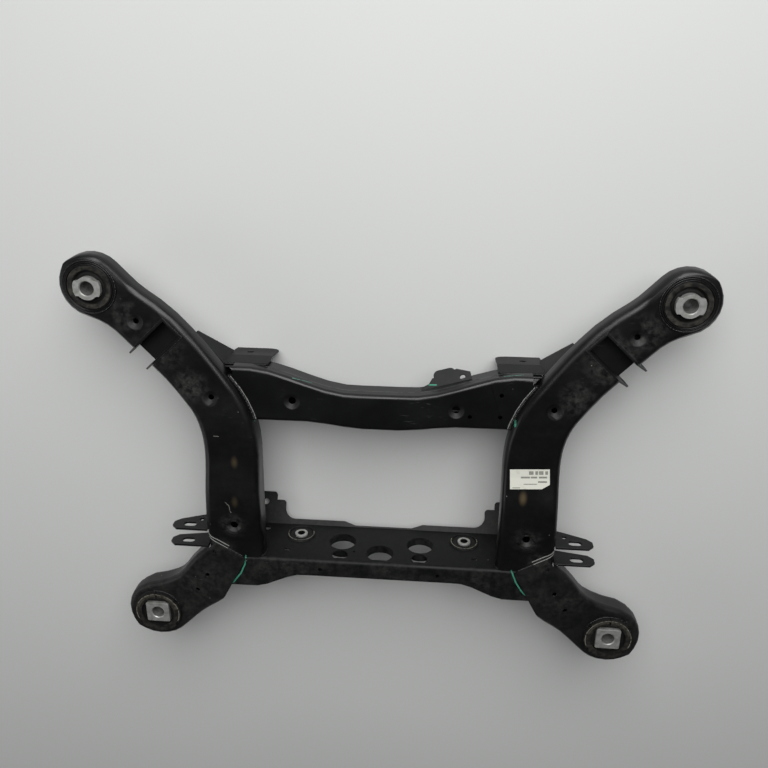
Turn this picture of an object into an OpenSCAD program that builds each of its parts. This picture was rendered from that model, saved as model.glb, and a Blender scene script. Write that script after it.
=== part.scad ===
// Rear-axle subframe: a welded frame of pressed steel shells with four body-mount bushes.
// X is to the right, Y is to the front of the vehicle, Z is up. Sizes are in millimetres.

/* [Body mounts] */
// Half of the spacing of the two front body bolts
front_mount_x = 450; // [430:1:470]
// Distance of the front body bolts ahead of the middle
front_mount_y = 304; // [290:1:320]
// Half of the spacing of the two rear body bolts
rear_mount_x = 405; // [390:1:420]
// Distance of the rear body bolts behind the middle
rear_mount_y = 304; // [290:1:320]
// Height of the bush core tops above the ground
core_top = 145; // [140:1:160]

/* [Sheet metal] */
// Thickness of the pressed shells
sheet = 3; // [2:0.5:4]
// Gap left where two sheets lap or butt
fit_gap = 0.3; // [0.2:0.05:0.5]
// Height by which a lower shell laps its upper shell
shell_lap = 8; // [6:1:11]
// Thickness of the bracket plates
plate = 4; // [3:0.5:5]

/* [Side rails] */
// Half of the spacing of the rails behind the bend
rail_x = 246; // [238:1:254]
// Half width of a rail behind the bend
rail_half = 46; // [42:1:50]
// Place along the frame where the two straights of a rail would cross
bend_y = 84; // [70:1:98]
// Radius of the bend on the middle line
bend_r = 143; // [120:1:160]
// Radius of the round end about a front bush
front_boss_r = 51; // [47:1:56]
// Reach of a front arm beyond the bush line on its outer side
arm_out = 28; // [24:1:32]
// Reach of a front arm beyond the bush line on its inner side
arm_in = 62; // [57:1:66]
// Height of the top of a front arm
arm_top = 135; // [128:1:140]
// Height of the top of a rail at the bend
bend_top = 145; // [140:1:150]
// Rise of the rail's back between the bend and its rear end
rail_hump = 12; // [8:1:15]
// Depth of a front arm from top to bottom
arm_depth = 36; // [33:1:44]
// Depth of a rail at the bend
bend_depth = 59; // [52:1:64]
// Depth of a rail from top to bottom at its rear end
rail_depth = 50; // [44:1:60]
// Depth of the upper shell's side walls
upper_wall = 26; // [22:1:29]
// Radius of the long edges of the rails
rail_edge_r = 12; // [8:1:15]

/* [Front crossmember] */
// Front face of the crossmember at the middle
cross_front_mid = 136; // [128:1:142]
// Front face of the crossmember at its ends
cross_front_end = 177; // [170:1:184]
// Rear face of the crossmember at the middle
cross_rear_mid = 74; // [66:1:82]
// Rear face of the crossmember towards its ends
cross_rear_end = 84; // [76:1:92]
// Height of the top of the crossmember
cross_top = 126; // [120:1:130]
// Depth of the crossmember from top to bottom
cross_depth = 56; // [50:1:62]
// Depth of the upper shell of the crossmember
cross_upper_wall = 20; // [17:1:23]
// Radius of the long edges of the crossmember
cross_edge_r = 7; // [5:1:10]

/* [Rear crossmember] */
// Front face of the rear panel behind the middle
panel_y = 169; // [160:1:178]
// Height of the top of the rear panel
panel_top = 148; // [144:1:152]
// Half length of the rear panel's wall
panel_half = 252; // [244:1:256]
// Width of the bent lip along the panel's lower edge at the sides
lip = 10; // [7:1:14]
// Width of the bent lip at the middle
lip_mid = 3; // [2:0.5:6]
// Width of the top strip at the middle
strip_mid = 32; // [28:1:38]
// Width of the top strip at its ends
strip_end = 60; // [52:1:64]
// Height at which the feet are bent forward
foot_bend = 39; // [34:1:44]
// Angle of a foot from upright
foot_angle = 51.5; // [45:0.5:58]
// Clear height between the back panel and the differential bushes
back_clear = 4; // [2:0.5:8]
// Diameter of the three large lightening holes
big_hole_d = 47; // [40:1:49]
// Depth of the collars about the large holes
collar = 15; // [8:1:20]
// Spacing of the outer large holes
big_hole_pitch = 139; // [130:1:150]
// Height of the outer large holes
big_hole_z = 87; // [84:1:88]
// Height of the middle large hole
mid_hole_z = 117; // [114:1:118]
// Diameter of the two small lightening holes
small_hole_d = 27; // [22:1:28]
// Height of the two small lightening holes
small_hole_z = 127; // [125:1:129]

/* [Rear arms] */
// Angle of a rear arm from the line across the vehicle
rear_arm_angle = 41.4; // [38:0.2:44]
// Radius of the round end about a rear bush
rear_boss_r = 57; // [53:1:60]
// Half width of a rear arm on its front side
rear_arm_front = 43; // [39:1:48]
// Half width of a rear arm's neck on its front side
rear_neck = 32; // [28:1:38]
// Half width of a rear arm on its rear side
rear_arm_back = 54; // [50:1:57]
// Height of the top of a rear arm at the bush
rear_arm_top = 137; // [132:1:142]
// Depth of a rear arm from top to bottom
rear_arm_depth = 46; // [40:1:50]

/* [Body mount bushes] */
// Outer radius of a bush housing tube
housing_r = 40; // [38:0.5:42]
// Wall of a bush housing tube
housing_wall = 2.5; // [2:0.25:3]
// Reach of a housing tube above and below its arm
housing_reach = 4; // [2:0.5:8]
// Wall of a bush outer sleeve
sleeve_wall = 2; // [1.5:0.25:2.5]
// Radius of a bush core
core_r = 18; // [17:0.5:20]
// Length of a bush core
core_length = 86; // [76:1:92]
// Diameter of the bolt hole through a bush core
body_bolt_d = 22; // [20:0.5:24]
// Length of the lugs across a front core
front_lug = 43; // [40:1:46]
// Width of the lugs across a front core
front_lug_w = 24; // [20:1:26]
// Side of the square head of a rear core
rear_head = 42; // [40:1:44]
// Thickness of the lugs and heads
head_t = 7; // [5:0.5:9]
// Radius of the rear bush's rubber flange
flange_r = 42; // [41:0.5:45]
// Thickness of the rear bush's rubber flange
flange_t = 6; // [4:0.5:7]

/* [Differential bushes] */
// Half of the spacing of the differential bolts
diff_x = 148; // [140:1:156]
// Height of the differential bolts
diff_z = 70; // [64:1:76]
// Outer radius of a differential bush
diff_r = 24; // [22:0.5:26]
// Length of a differential bush
diff_length = 36; // [30:1:36]
// Radius of a differential bush core
diff_core_r = 11.5; // [10:0.25:13]
// Diameter of the bolt hole through a differential bush core
diff_bolt_d = 12.5; // [10:0.5:14]

/* [Link brackets] */
// Distance of the upper link pocket from the front bush along the arm
pocket_s = 130; // [122:1:138]
// Clear width of the upper link pocket
pocket_w = 34; // [30:1:38]
// Length of the pocket inside the arm from the bush line
pocket_in = 46; // [40:1:48]
// Reach of the pocket's side plates beyond the arm
fin_reach = 25; // [18:1:30]
// Thickness of the pocket's sheet
pocket_t = 3; // [2.5:0.5:4]
// Diameter of the upper link bolt hole
link_bolt_d = 12.5; // [10:0.5:14]
// Place of the front ear behind the middle
ear_y = 116; // [112:1:122]
// Clear gap between the two ears
ear_gap = 29; // [26:1:32]
// Height of the middle of the ears
ear_z = 134; // [130:1:138]
// Distance of the slots from the middle line
slot_x = 330; // [324:1:336]
// Length of the adjusting slots
slot_l = 22; // [18:1:24]
// Width of the adjusting slots
slot_w = 12.5; // [10:0.5:14]
// Reach of an ear beyond its slot
ear_reach = 30; // [26:1:36]
// Height of an ear at its tip
ear_tip = 29; // [24:1:34]
// Distance by which the rear ear's slot stands further out than the front ear's
ear_stagger = 6; // [0:1:8]
// Height of a rear ear at its root
ear_root_rear = 40; // [34:1:46]
// Height of a front ear at its root
ear_root = 50; // [44:1:54]

/* [Front tabs] */
// Inner end of a tab from the middle line
tab_in = 185; // [178:1:192]
// Outer end of a tab's straight part
tab_out = 262; // [256:1:268]
// Angle of a tab's lower part from upright
tab_angle = 10; // [6:1:14]
// Diameter of the hole in a tab
tab_hole_d = 12; // [9:0.5:14]
// Height of the hole in a tab
tab_hole_z = 40; // [32:1:46]
// Place of the lobed bracket right of the middle
lobe_x = 105; // [95:1:115]

/* [Hidden] */
$fn = 64;
big = 400;

// Blends
function clamp01(t) = max(0, min(1, t));
function ease(t) = clamp01(t) * clamp01(t) * (3 - 2 * clamp01(t));
function mix(a, b, t) = a + (b - a) * t;
function over(a, b, from, to, s) = mix(a, b, ease((s - from) / (to - from)));
function soft_max(a, b, k) = let (h = clamp01(0.5 + 0.5 * (a - b) / k)) mix(b, a, h) + k * h * (1 - h);

// Open cross-section of a shell, from rim to rim: over the top of a box, or round its underside
corner_steps = 3;
function corner(cx, cz, r, from) =
  [for (i = [0:corner_steps]) let (t = from - 90 * i / corner_steps) [cx + r * cos(t), cz + r * sin(t)]];
function arch(a, b, lo, hi, r) = concat(
  [[a, lo]], corner(a + r, hi - r, r, 180), corner(b - r, hi - r, r, 90), [[b, lo]]);
function tub(a, b, lo, hi, r) = concat(
  [[b, hi]], corner(b - r, lo + r, r, 0), corner(a + r, lo + r, r, -90), [[a, hi]]);

// Pressed shell between two skins, each a row of open cross-sections; a nosed one is closed at its first end
function strip(a, b, c, d) = [[a, b, c], [b, d, c]];
module shell(outer, inner, nosed) {
  n = len(outer[0]);
  m = len(outer);
  in = m * n;
  end = (m - 1) * n;
  skins = [for (i = [0:m - 2]) for (j = [0:n - 2]) let (p = i * n + j) each concat(
    strip(p, p + 1, p + n, p + n + 1), strip(in + p, in + p + n, in + p + 1, in + p + n + 1))];
  rims = [for (i = [0:m - 2]) let (p = i * n, q = i * n + n - 1) each concat(
    strip(in + p, p, in + p + n, p + n), strip(q, in + q, q + n, in + q + n))];
  back = [for (j = [0:n - 2]) each strip(end + j, end + j + 1, in + end + j, in + end + j + 1)];
  front = nosed ? [
    [for (j = [0:n - 1]) n - 1 - j], [for (j = [0:n - 1]) in + j], [n - 1, 0, in], [n - 1, in, in + n - 1]]
    : [for (j = [0:n - 2]) each strip(j + 1, j, in + j + 1, in + j)];
  polyhedron(concat([for (r = outer) each r], [for (r = inner) each r]), concat(skins, rims, back, front));
}

// Middle line of the right rail, from the front bush to the rear panel
rail_start = [front_mount_x, front_mount_y];
rail_leg = [rail_x, bend_y] - rail_start;
rail_dir = rail_leg / norm(rail_leg);
rail_turn = acos(-rail_dir[1]);
bend_in = norm(rail_leg) - bend_r * tan(rail_turn / 2);
bend_out = bend_in + bend_r * rail_turn * PI / 180;
bend_end_y = bend_y - bend_r * tan(rail_turn / 2);
rail_length = bend_out + bend_end_y + panel_y - fit_gap;
bend_middle = [rail_x + bend_r, bend_end_y];
function rail_heading(s) = s <= bend_in ? rail_dir
  : s >= bend_out ? [0, -1]
  : let (t = rail_turn * (bend_out - s) / (bend_out - bend_in)) [-sin(t), -cos(t)];
function rail_point(s) = s <= bend_in ? rail_start + rail_dir * s
  : s >= bend_out ? [rail_x, bend_end_y - (s - bend_out)]
  : let (h = rail_heading(s)) bend_middle - bend_r * [-h[1], h[0]];

// Reach of the rail to each side of its middle line
boss_turn = 0.5;
neck_blend = 14;
arm_swell = 60;
neck_from = 35;
rail_flare = 5;
function round_end(r, s) = sqrt(max(0, r * r - s * s));
function boss_flank(r, s) = s < boss_turn * r ? round_end(r, s)
  : round_end(r, boss_turn * r) - (s - boss_turn * r) * boss_turn / sqrt(1 - boss_turn * boss_turn);
swell_start = pocket_s + pocket_w;
function rail_out(s) = s <= 0 ? round_end(front_boss_r, s)
  : soft_max(boss_flank(front_boss_r, s), over(arm_out, rail_half, swell_start, bend_out, s), neck_blend)
    + over(0, rail_flare, bend_out, rail_length, s);
function rail_in(s) = s <= 0 ? round_end(front_boss_r, s)
  : s < pocket_s ? over(front_boss_r, arm_in, neck_from, pocket_s - 15, s)
  : over(arm_in, rail_half, pocket_s, bend_out, s);
function rail_back(t) = rail_hump * ease(t / 0.4) * ease((0.84 - t) / 0.2);
function rail_run(s) = (s - bend_out) / (rail_length - bend_out);
function rail_top(s) = s < bend_out ? over(arm_top, bend_top, swell_start, bend_out, s)
  : mix(bend_top, panel_top, rail_run(s)) + rail_back(rail_run(s));
arm_low = arm_top - arm_depth;
bend_low = bend_top - bend_depth;
function rail_bottom(s) = s < bend_out ? over(arm_low, bend_low, swell_start, bend_in, s)
  : mix(bend_low, panel_top - rail_depth, rail_run(s));
function end_stations(r) = [for (t = [6, 20, 34, 48, 62, 76]) -r * cos(t)];
function rail_stations(r, run) = concat(
  end_stations(r),
  [for (i = [0:6]) i * pocket_s / 9],
  [for (i = [1:5]) mix(pocket_s * 6 / 9, bend_in, i / 5)],
  [for (i = [1:6]) mix(bend_in, bend_out, i / 6)],
  [for (i = [1:12]) mix(bend_out, rail_length + run, i / 12)]);
// Reach of a surface that lies inside the outer one; a round end shrinks about its own centre
function rail_reach_in(s, inset) = s <= 0 ? round_end(front_boss_r - inset, s) : rail_in(s) - inset;
function rail_reach_out(s, inset) = s <= 0 ? round_end(front_boss_r - inset, s) : rail_out(s) - inset;
function place(p, h, ring) = [for (q = ring) [p[0] - h[1] * q[0], p[1] + h[0] * q[0], q[1]]];
function fair(r, a, b) = min(r, 0.45 * (b - a));

function rail_arch(inset) = [for (s = rail_stations(front_boss_r - inset, 0)) let (
  a = -rail_reach_in(s, inset),
  b = rail_reach_out(s, inset),
  hi = rail_top(s))
  place(rail_point(s), rail_heading(s),
    arch(a, b, hi - upper_wall, hi - inset, fair(rail_edge_r - inset, a, b)))];
function rail_tub(inset, lift) = [for (s = rail_stations(front_boss_r - inset, 0)) let (
  a = -rail_reach_in(s, inset),
  b = rail_reach_out(s, inset),
  hi = rail_top(s) - upper_wall + shell_lap)
  place(rail_point(s), rail_heading(s), tub(a, b, rail_bottom(s) + lift, hi, fair(rail_edge_r - lift, a, b)))];
// The room that a rail takes up, which its neighbours are cut clear of
function left_of(h) = [-h[1], h[0]];
function back_to_front(list) = [for (i = [1:len(list)]) list[len(list) - i]];
function rail_outline(grow) = let (stations = rail_stations(front_boss_r + grow, grow)) concat(
  [for (s = stations)
    rail_point(s) + rail_reach_out(s, -grow) * left_of(rail_heading(s))],
  back_to_front([for (s = stations)
    rail_point(s) - rail_reach_in(s, -grow) * left_of(rail_heading(s))]));
module rail_room(grow, low, high) {
  translate([0, 0, low]) linear_extrude(high - low) polygon(rail_outline(grow));
}

// Pressed dimples with a hole
dimple_d = 30;
dimple_h = 6;
arm_hole_d = 9;
rail_hole_d = 12;
module dimple_form(d) {
  translate([0, 0, -dimple_h]) cylinder(h = dimple_h - sheet / 2, d1 = d + 2 * sheet, d2 = dimple_d + sheet);
}
module dimple_cut(d) {
  translate([0, 0, -dimple_h]) cylinder(h = dimple_h + 0.5, d1 = d, d2 = dimple_d);
  translate([0, 0, -2 * dimple_h]) cylinder(h = 2 * dimple_h, d = d);
}
arm_hole_s = 84;
arm_hole_u = -11;
bend_hole_u = -9;
rail_hole_run = 68;
rail_holes = [
  [arm_hole_s, arm_hole_u, arm_hole_d], [bend_in + 6, bend_hole_u, arm_hole_d],
  [rail_length - rail_hole_run, 0, rail_hole_d]];
module at_rail(s, u) {
  h = rail_heading(s);
  p = rail_point(s) + u * [-h[1], h[0]];
  translate([p[0], p[1], rail_top(s)]) rotate([0, 0, atan2(h[0], -h[1])]) children();
}
// Upper link pocket, in the frame of the arm: local X runs outward across the arm
pocket_low = rail_bottom(pocket_s) + sheet + fit_gap;
pocket_high = arm_top + 1;
fin_drop = 32;
fin_hang = 12;
fin_clear = 1;
fin_shoulder = 8;
link_bolt_up = 1;
link_bolt_out = 12;
module at_pocket() {
  h = rail_heading(pocket_s);
  p = rail_point(pocket_s);
  translate([p[0], p[1], 0]) rotate([0, 0, atan2(h[0], -h[1])]) children();
}
module pocket_slot() {
  w = pocket_w + 2 * pocket_t + 2 * fit_gap;
  in = pocket_in + pocket_t + fit_gap;
  at_pocket() translate([-in, -w / 2, pocket_low - fit_gap / 2]) cube([in + big, w, big]);
}
module pocket_fin() {
  tip = arm_out + fin_reach;
  heel = arm_out + fin_clear;
  rotate([90, 0, 0]) linear_extrude(pocket_t) polygon([
    [-pocket_in, pocket_low], [-pocket_in, pocket_high], [arm_out - fin_shoulder, pocket_high],
    [tip, pocket_high - fin_drop], [tip, pocket_low - fin_hang / 2],
    [tip - fin_hang / 2, pocket_low - fin_hang], [heel, pocket_low - fin_hang], [heel, pocket_low]]);
}
module right_pocket() {
  color("#26282a") at_pocket() difference() {
    union() {
      translate([0, -pocket_w / 2, 0]) pocket_fin();
      translate([0, pocket_w / 2 + pocket_t, 0]) pocket_fin();
      translate([-pocket_in, -pocket_w / 2, pocket_low]) cube([pocket_in + arm_out, pocket_w, pocket_t]);
      translate([-pocket_in - pocket_t, -pocket_w / 2 - pocket_t, pocket_low])
        cube([pocket_t, pocket_w + 2 * pocket_t, pocket_high - pocket_low]);
    }
    translate([arm_out + link_bolt_out, 0, pocket_low + link_bolt_up]) rotate([90, 0, 0])
      cylinder(d = link_bolt_d, h = 2 * pocket_w, center = true);
  }
}

// Side rails
module front_bush_hole() {
  translate([front_mount_x, front_mount_y, -big]) cylinder(r = housing_r + fit_gap, h = 3 * big);
}
module right_rail_upper() {
  color("#1c1e20") difference() {
    union() {
      shell(rail_arch(0), rail_arch(sheet), true);
      for (q = rail_holes) at_rail(q[0], q[1]) dimple_form(q[2]);
    }
    for (q = rail_holes) at_rail(q[0], q[1]) dimple_cut(q[2]);
    front_bush_hole();
    pocket_slot();
  }
}
module right_rail_lower() {
  color("#232527") difference() {
    shell(rail_tub(sheet + fit_gap, 0), rail_tub(2 * sheet + fit_gap, sheet), true);
    front_bush_hole();
    pocket_slot();
  }
}

// Front crossmember between the rails
cross_reach = rail_x + 24;
cross_steps = 18;
cross_flat = 47;
cross_flare = 219;
cross_rear_flare = 130;
function cross_front(x) = over(cross_front_mid, cross_front_end, cross_flat, cross_flare, abs(x));
function cross_rear(x) = over(cross_rear_mid, cross_rear_end, cross_flat / 2, cross_rear_flare, abs(x));
cross_stations = [for (i = [0:cross_steps]) mix(-cross_reach, cross_reach, i / cross_steps)];
cross_seam = cross_top - cross_upper_wall;
cross_low = cross_top - cross_depth;
function cross_arch(inset) = [for (x = cross_stations) place([x, 0], [1, 0], arch(
  cross_rear(x) + inset, cross_front(x) - inset, cross_seam, cross_top - inset, cross_edge_r - inset))];
function cross_tub(inset, lift) = [for (x = cross_stations) place([x, 0], [1, 0], tub(
  cross_rear(x) + inset, cross_front(x) - inset, cross_low + lift, cross_seam + shell_lap, cross_edge_r - lift))];
module both_rails() {
  rail_room(fit_gap, -big, big);
  mirror([1, 0, 0]) rail_room(fit_gap, -big, big);
}
// The room of the crossmember's lower shell
module cross_room() {
  in = sheet;
  translate([0, 0, cross_low - fit_gap]) linear_extrude(big) polygon(concat(
    [for (x = cross_stations) [x, cross_front(x) - in]],
    back_to_front([for (x = cross_stations) [x, cross_rear(x) + in]])));
}
cross_holes = [[-144, 120], [121, 115]];
small_hole = 7;
cross_small_holes = [[143, 106], [191, 145], [191, 107]];
corner_cut = [238, 164];
seam_line = [[173, 164], [199, 80]];
module front_crossmember_upper() {
  run = seam_line[1] - seam_line[0];
  color("#202224") difference() {
    union() {
      shell(cross_arch(0), cross_arch(sheet), false);
      for (q = cross_holes) translate([q[0], q[1], cross_top]) dimple_form(rail_hole_d);
    }
    for (q = cross_holes) translate([q[0], q[1], cross_top]) dimple_cut(rail_hole_d);
    for (q = cross_small_holes) translate([q[0], q[1], cross_seam])
      cylinder(d = small_hole, h = cross_upper_wall + 1);
    both() translate([corner_cut[0], corner_cut[1], 0]) cube(big);
    translate([seam_line[0][0], seam_line[0][1], cross_top - 1]) rotate([0, 0, atan2(run[1], run[0])])
      translate([0, -1, 0]) cube([norm(run), 2, 2]);
    both_rails();
  }
}
module front_crossmember_lower() {
  color("#2b2d2f") difference() {
    shell(cross_tub(sheet + fit_gap, 0), cross_tub(2 * sheet + fit_gap, sheet), false);
    both_rails();
  }
}

// Rear crossmember: an upright panel with lightening holes, a top strip and two bent feet
strip_flat = 135;
strip_flare = 220;
strip_lap = 16;
strip_steps = 30;
strip_reach = panel_half + strip_lap;
panel_bend_r = 6;
function strip_w(x) = over(strip_mid, strip_end, strip_flat, strip_flare, abs(x));
function strip_edge(reach, in) =
  [for (i = [0:strip_steps]) let (x = mix(-reach, reach, i / strip_steps)) [x, in - panel_y - strip_w(x)]];
low_ramp_in = 52;
low_ramp_out = 72;
foot_len = (foot_bend - sheet * sin(foot_angle)) / cos(foot_angle);
foot_step = 15;
foot_from = 66;
foot_half = 48;
foot_in = panel_half - foot_from;
foot_mid = panel_half - foot_half;
foot_r = 6;
foot_fillet_r = 20;
foot_hole_in = 28;
foot_hole_x = panel_half - foot_hole_in;
foot_hole_d = 11;
foot_hole_up = 19;
wall_hole_in = 38;
wall_hole_z = 56;
wall_hole = [panel_half - wall_hole_in, wall_hole_z];
square_hole = [165, 119];
square_size = [9, 7];
pin_hole = [-46, 116];
strip_hole_x = 102;
function arc(cx, cy, r, from, to) =
  [for (i = [0:6]) let (t = mix(from, to, i / 6)) [cx + r * cos(t), cy + r * sin(t)]];
module both() {
  children();
  mirror([1, 0, 0]) children();
}
module upright(t) {
  translate([0, -panel_y, 0]) rotate([90, 0, 0]) linear_extrude(t) children();
}
module big_holes(d) {
  translate([0, mid_hole_z]) circle(d = d);
  for (k = [-1, 1]) translate([k * big_hole_pitch / 2, big_hole_z]) circle(d = d);
}
module panel_holes() {
  big_holes(big_hole_d);
  translate(pin_hole) circle(d = 5);
  for (k = [-1, 1]) {
    translate([k * big_hole_pitch / 2, small_hole_z]) circle(d = small_hole_d);
    translate([k * diff_x, diff_z]) circle(r = diff_r + fit_gap);
    translate([k * square_hole[0], square_hole[1]]) square(square_size, center = true);
    translate([k * wall_hole[0], wall_hole[1]]) circle(d = foot_hole_d);
  }
}
// Half of the bent lip with its foot, drawn flat: Y runs down from the bend, and its end stands in from the wall's
edge_step = 0.6;
module foot() {
  end = panel_half - edge_step;
  heel = foot_len - foot_step;
  root = 0.8 * sheet * tan(foot_angle / 2);
  translate([0, -panel_y, foot_bend]) rotate([foot_angle + 90, 0, 0]) linear_extrude(sheet) difference() {
    polygon(concat(
      [[0, root], [end, root]],
      arc(end - foot_r, foot_r - foot_len, foot_r, 0, -90),
      arc(foot_mid + foot_r, foot_r - foot_len, foot_r, -90, -180),
      [[foot_mid, -heel]],
      arc(foot_in + foot_r, foot_r - heel, foot_r, -90, -180),
      arc(foot_in - foot_fillet_r, -lip - foot_fillet_r, foot_fillet_r, 0, 90),
      [[low_ramp_out, -lip], [low_ramp_in, -lip_mid], [0, -lip_mid]]));
    translate([foot_hole_x, foot_hole_up - foot_len]) circle(d = foot_hole_d);
  }
}
module panel_bend() {
  translate([-panel_half, -panel_y - panel_bend_r, panel_top - panel_bend_r]) rotate([90, 0, 90])
    linear_extrude(2 * panel_half) intersection() {
      difference() {
        circle(r = panel_bend_r);
        circle(r = panel_bend_r - sheet);
      }
      square(panel_bend_r);
    }
}
module rear_panel() {
  wall_low = foot_bend - sheet * tan(foot_angle / 2);
  color("#2c2f31") difference() {
    union() {
      upright(sheet) translate([-panel_half, wall_low])
        square([2 * panel_half, panel_top - panel_bend_r - wall_low]);
      upright(collar) big_holes(big_hole_d + 2 * sheet);
      panel_bend();
      translate([0, 0, panel_top - sheet]) linear_extrude(sheet) polygon(concat(
        strip_edge(strip_reach, 0),
        [[strip_reach, -panel_y - panel_bend_r], [-strip_reach, -panel_y - panel_bend_r]]));
      both() foot();
    }
    translate([0, 1, 0]) upright(collar + 2) panel_holes();
    for (k = [-1, 1]) translate([k * strip_hole_x, -panel_y - strip_mid / 2 - 3, panel_top - 2 * sheet])
      cylinder(d = small_hole, h = 3 * sheet);
  }
}
module back_panel() {
  reach = panel_half - 8;
  low = diff_z + diff_r + back_clear;
  high = panel_top - sheet - fit_gap;
  color("#262829") translate([0, 0, low]) linear_extrude(high - low) polygon(concat(
    strip_edge(reach, 1), back_to_front(strip_edge(reach, 1 + sheet))));
}

// Rear arms
rear_heading = [-cos(rear_arm_angle), sin(rear_arm_angle)];
rear_arm_length = (rear_mount_x - panel_half + 24) / cos(rear_arm_angle);
rear_arm_wall = 28;
rear_edge_r = 9;
neck_s = 84;
neck_end = 150;
rear_rise_from = 55;
rear_rise_to = 130;
seam_in = 22;
seam_angle = 27.4;
lap_angle = 30.5;
lap_x = 260;
lap_run = 14;
function rear_back(s) = s <= 0 ? round_end(rear_boss_r, s) : over(rear_boss_r, rear_arm_back, 0, arm_swell, s);
function rear_front(s) = s <= 0 ? round_end(rear_boss_r, s)
  : soft_max(boss_flank(rear_boss_r, s), over(rear_neck, rear_arm_front, neck_s, neck_end, s), neck_blend);
function rear_reach_back(s, inset) = s <= 0 ? round_end(rear_boss_r - inset, s) : rear_back(s) - inset;
function rear_reach_front(s, inset) = s <= 0 ? round_end(rear_boss_r - inset, s) : rear_front(s) - inset;
function rear_top(s) = over(rear_arm_top, panel_top + fit_gap + sheet, rear_rise_from, rear_rise_to, s);
function rear_point(s) = [rear_mount_x, -rear_mount_y] + rear_heading * s;
function rear_stations(r, run) = concat(end_stations(r), [for (i = [0:11]) (rear_arm_length + run) * i / 11]);
function rear_arch(inset) = [for (s = rear_stations(rear_boss_r - inset, 0)) let (
  a = -rear_reach_front(s, inset),
  b = rear_reach_back(s, inset),
  hi = rear_top(s))
  place(rear_point(s), rear_heading,
    arch(a, b, hi - rear_arm_wall, hi - inset, fair(rear_edge_r - inset, a, b)))];
rear_lower_share = 0.55;
function rear_tub(inset, lift) = [for (s = rear_stations(rear_boss_r - inset, 0))
  if (s <= rear_lower_share * rear_arm_length) let (
  a = -rear_reach_front(s, inset),
  b = rear_reach_back(s, inset),
  hi = rear_top(s) - rear_arm_wall + shell_lap)
  place(rear_point(s), rear_heading,
    tub(a, b, rear_top(s) - rear_arm_depth + lift, hi, fair(rear_edge_r - lift, a, b)))];
function rear_outline(grow) = let (stations = rear_stations(rear_boss_r + grow, 0)) concat(
  [for (s = stations) rear_point(s) + rear_reach_back(s, -grow) * left_of(rear_heading)],
  back_to_front([for (s = stations) rear_point(s) - rear_reach_front(s, -grow) * left_of(rear_heading)]));
module rear_room(grow) {
  linear_extrude(big) polygon(rear_outline(grow));
}
module rear_bush_hole() {
  translate([rear_mount_x, -rear_mount_y, -big]) cylinder(r = housing_r + fit_gap, h = 3 * big);
}
// What a rear arm is cut clear of: the rail's end, the panel's seam and the lap on the rail
module rear_arm_ends() {
  rail_room(fit_gap, -big, panel_top);
  translate([panel_half - seam_in, -panel_y, 0]) rotate([0, 0, seam_angle])
    translate([-big, -big, -big]) cube([big, 2 * big, 3 * big]);
  translate([lap_x, lap_run - panel_y, 0]) rotate([0, 0, lap_angle])
    translate([-big, 0, -big]) cube([2 * big, big, 3 * big]);
}
rear_holes = [[98, 10, small_hole + 1], [139, -3, small_hole + 1]];
recess = [286, 9];
module right_rear_arm_upper() {
  color("#232628") difference() {
    shell(rear_arch(0), rear_arch(sheet), true);
    rear_bush_hole();
    rear_arm_ends();
    for (q = rear_holes) translate(concat(rear_point(q[0]) + q[1] * left_of(rear_heading), 0))
      cylinder(d = q[2], h = big);
    translate([recess[0], recess[1] - panel_y, 0]) cylinder(d = small_hole, h = big);
  }
}
module right_rear_arm_lower() {
  color("#2a2c2e") difference() {
    shell(rear_tub(sheet + fit_gap, 0), rear_tub(2 * sheet + fit_gap, sheet), true);
    rear_bush_hole();
  }
}

// Body-mount bushes
front_low = rail_bottom(0) - housing_reach;
front_high = arm_top + housing_reach / 2;
rear_low = rear_arm_top - rear_arm_depth - housing_reach;
rear_high = rear_arm_top + housing_reach / 2;
sleeve_r = housing_r - housing_wall - fit_gap;
rubber_r = sleeve_r - sleeve_wall - fit_gap;
rubber_bore = core_r + fit_gap;
bore_edge = 1.5;
groove_w = 6;
groove_h = 5;
flange_in = rear_head * 0.72;
module tube(r, wall, low, high) {
  translate([0, 0, low]) difference() {
    cylinder(r = r, h = high - low);
    translate([0, 0, -1]) cylinder(r = r - wall, h = high - low + 2);
  }
}
module core_bore() {
  translate([0, 0, core_top - core_length - 1]) cylinder(d = body_bolt_d, h = core_length + 2);
  translate([0, 0, core_top - bore_edge])
    cylinder(d1 = body_bolt_d, d2 = body_bolt_d + 2 * bore_edge + 1, h = bore_edge + 0.5);
}
module core(square_head) {
  color("#b9bdbf") difference() {
    union() {
      translate([0, 0, core_top - core_length]) cylinder(r = core_r, h = core_length);
      translate([0, 0, core_top - head_t]) linear_extrude(head_t) intersection() {
        square(square_head ? [rear_head, rear_head - 2] : [front_lug, front_lug_w], center = true);
        circle(r = square_head ? rear_head * 0.66 : front_lug / 2 + 0.5);
      }
    }
    core_bore();
  }
}
module front_rubber() {
  top = min(front_high - fit_gap, core_top - head_t - fit_gap);
  mid = (rubber_r + rubber_bore) / 2;
  color("#111213") rotate_extrude() polygon([
    [rubber_bore, front_low], [rubber_r, front_low], [rubber_r, top], [mid + groove_w / 2, top],
    [mid + groove_w / 4, top - groove_h], [mid - groove_w / 4, top - groove_h], [mid - groove_w / 2, top],
    [rubber_bore, top]]);
}
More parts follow.
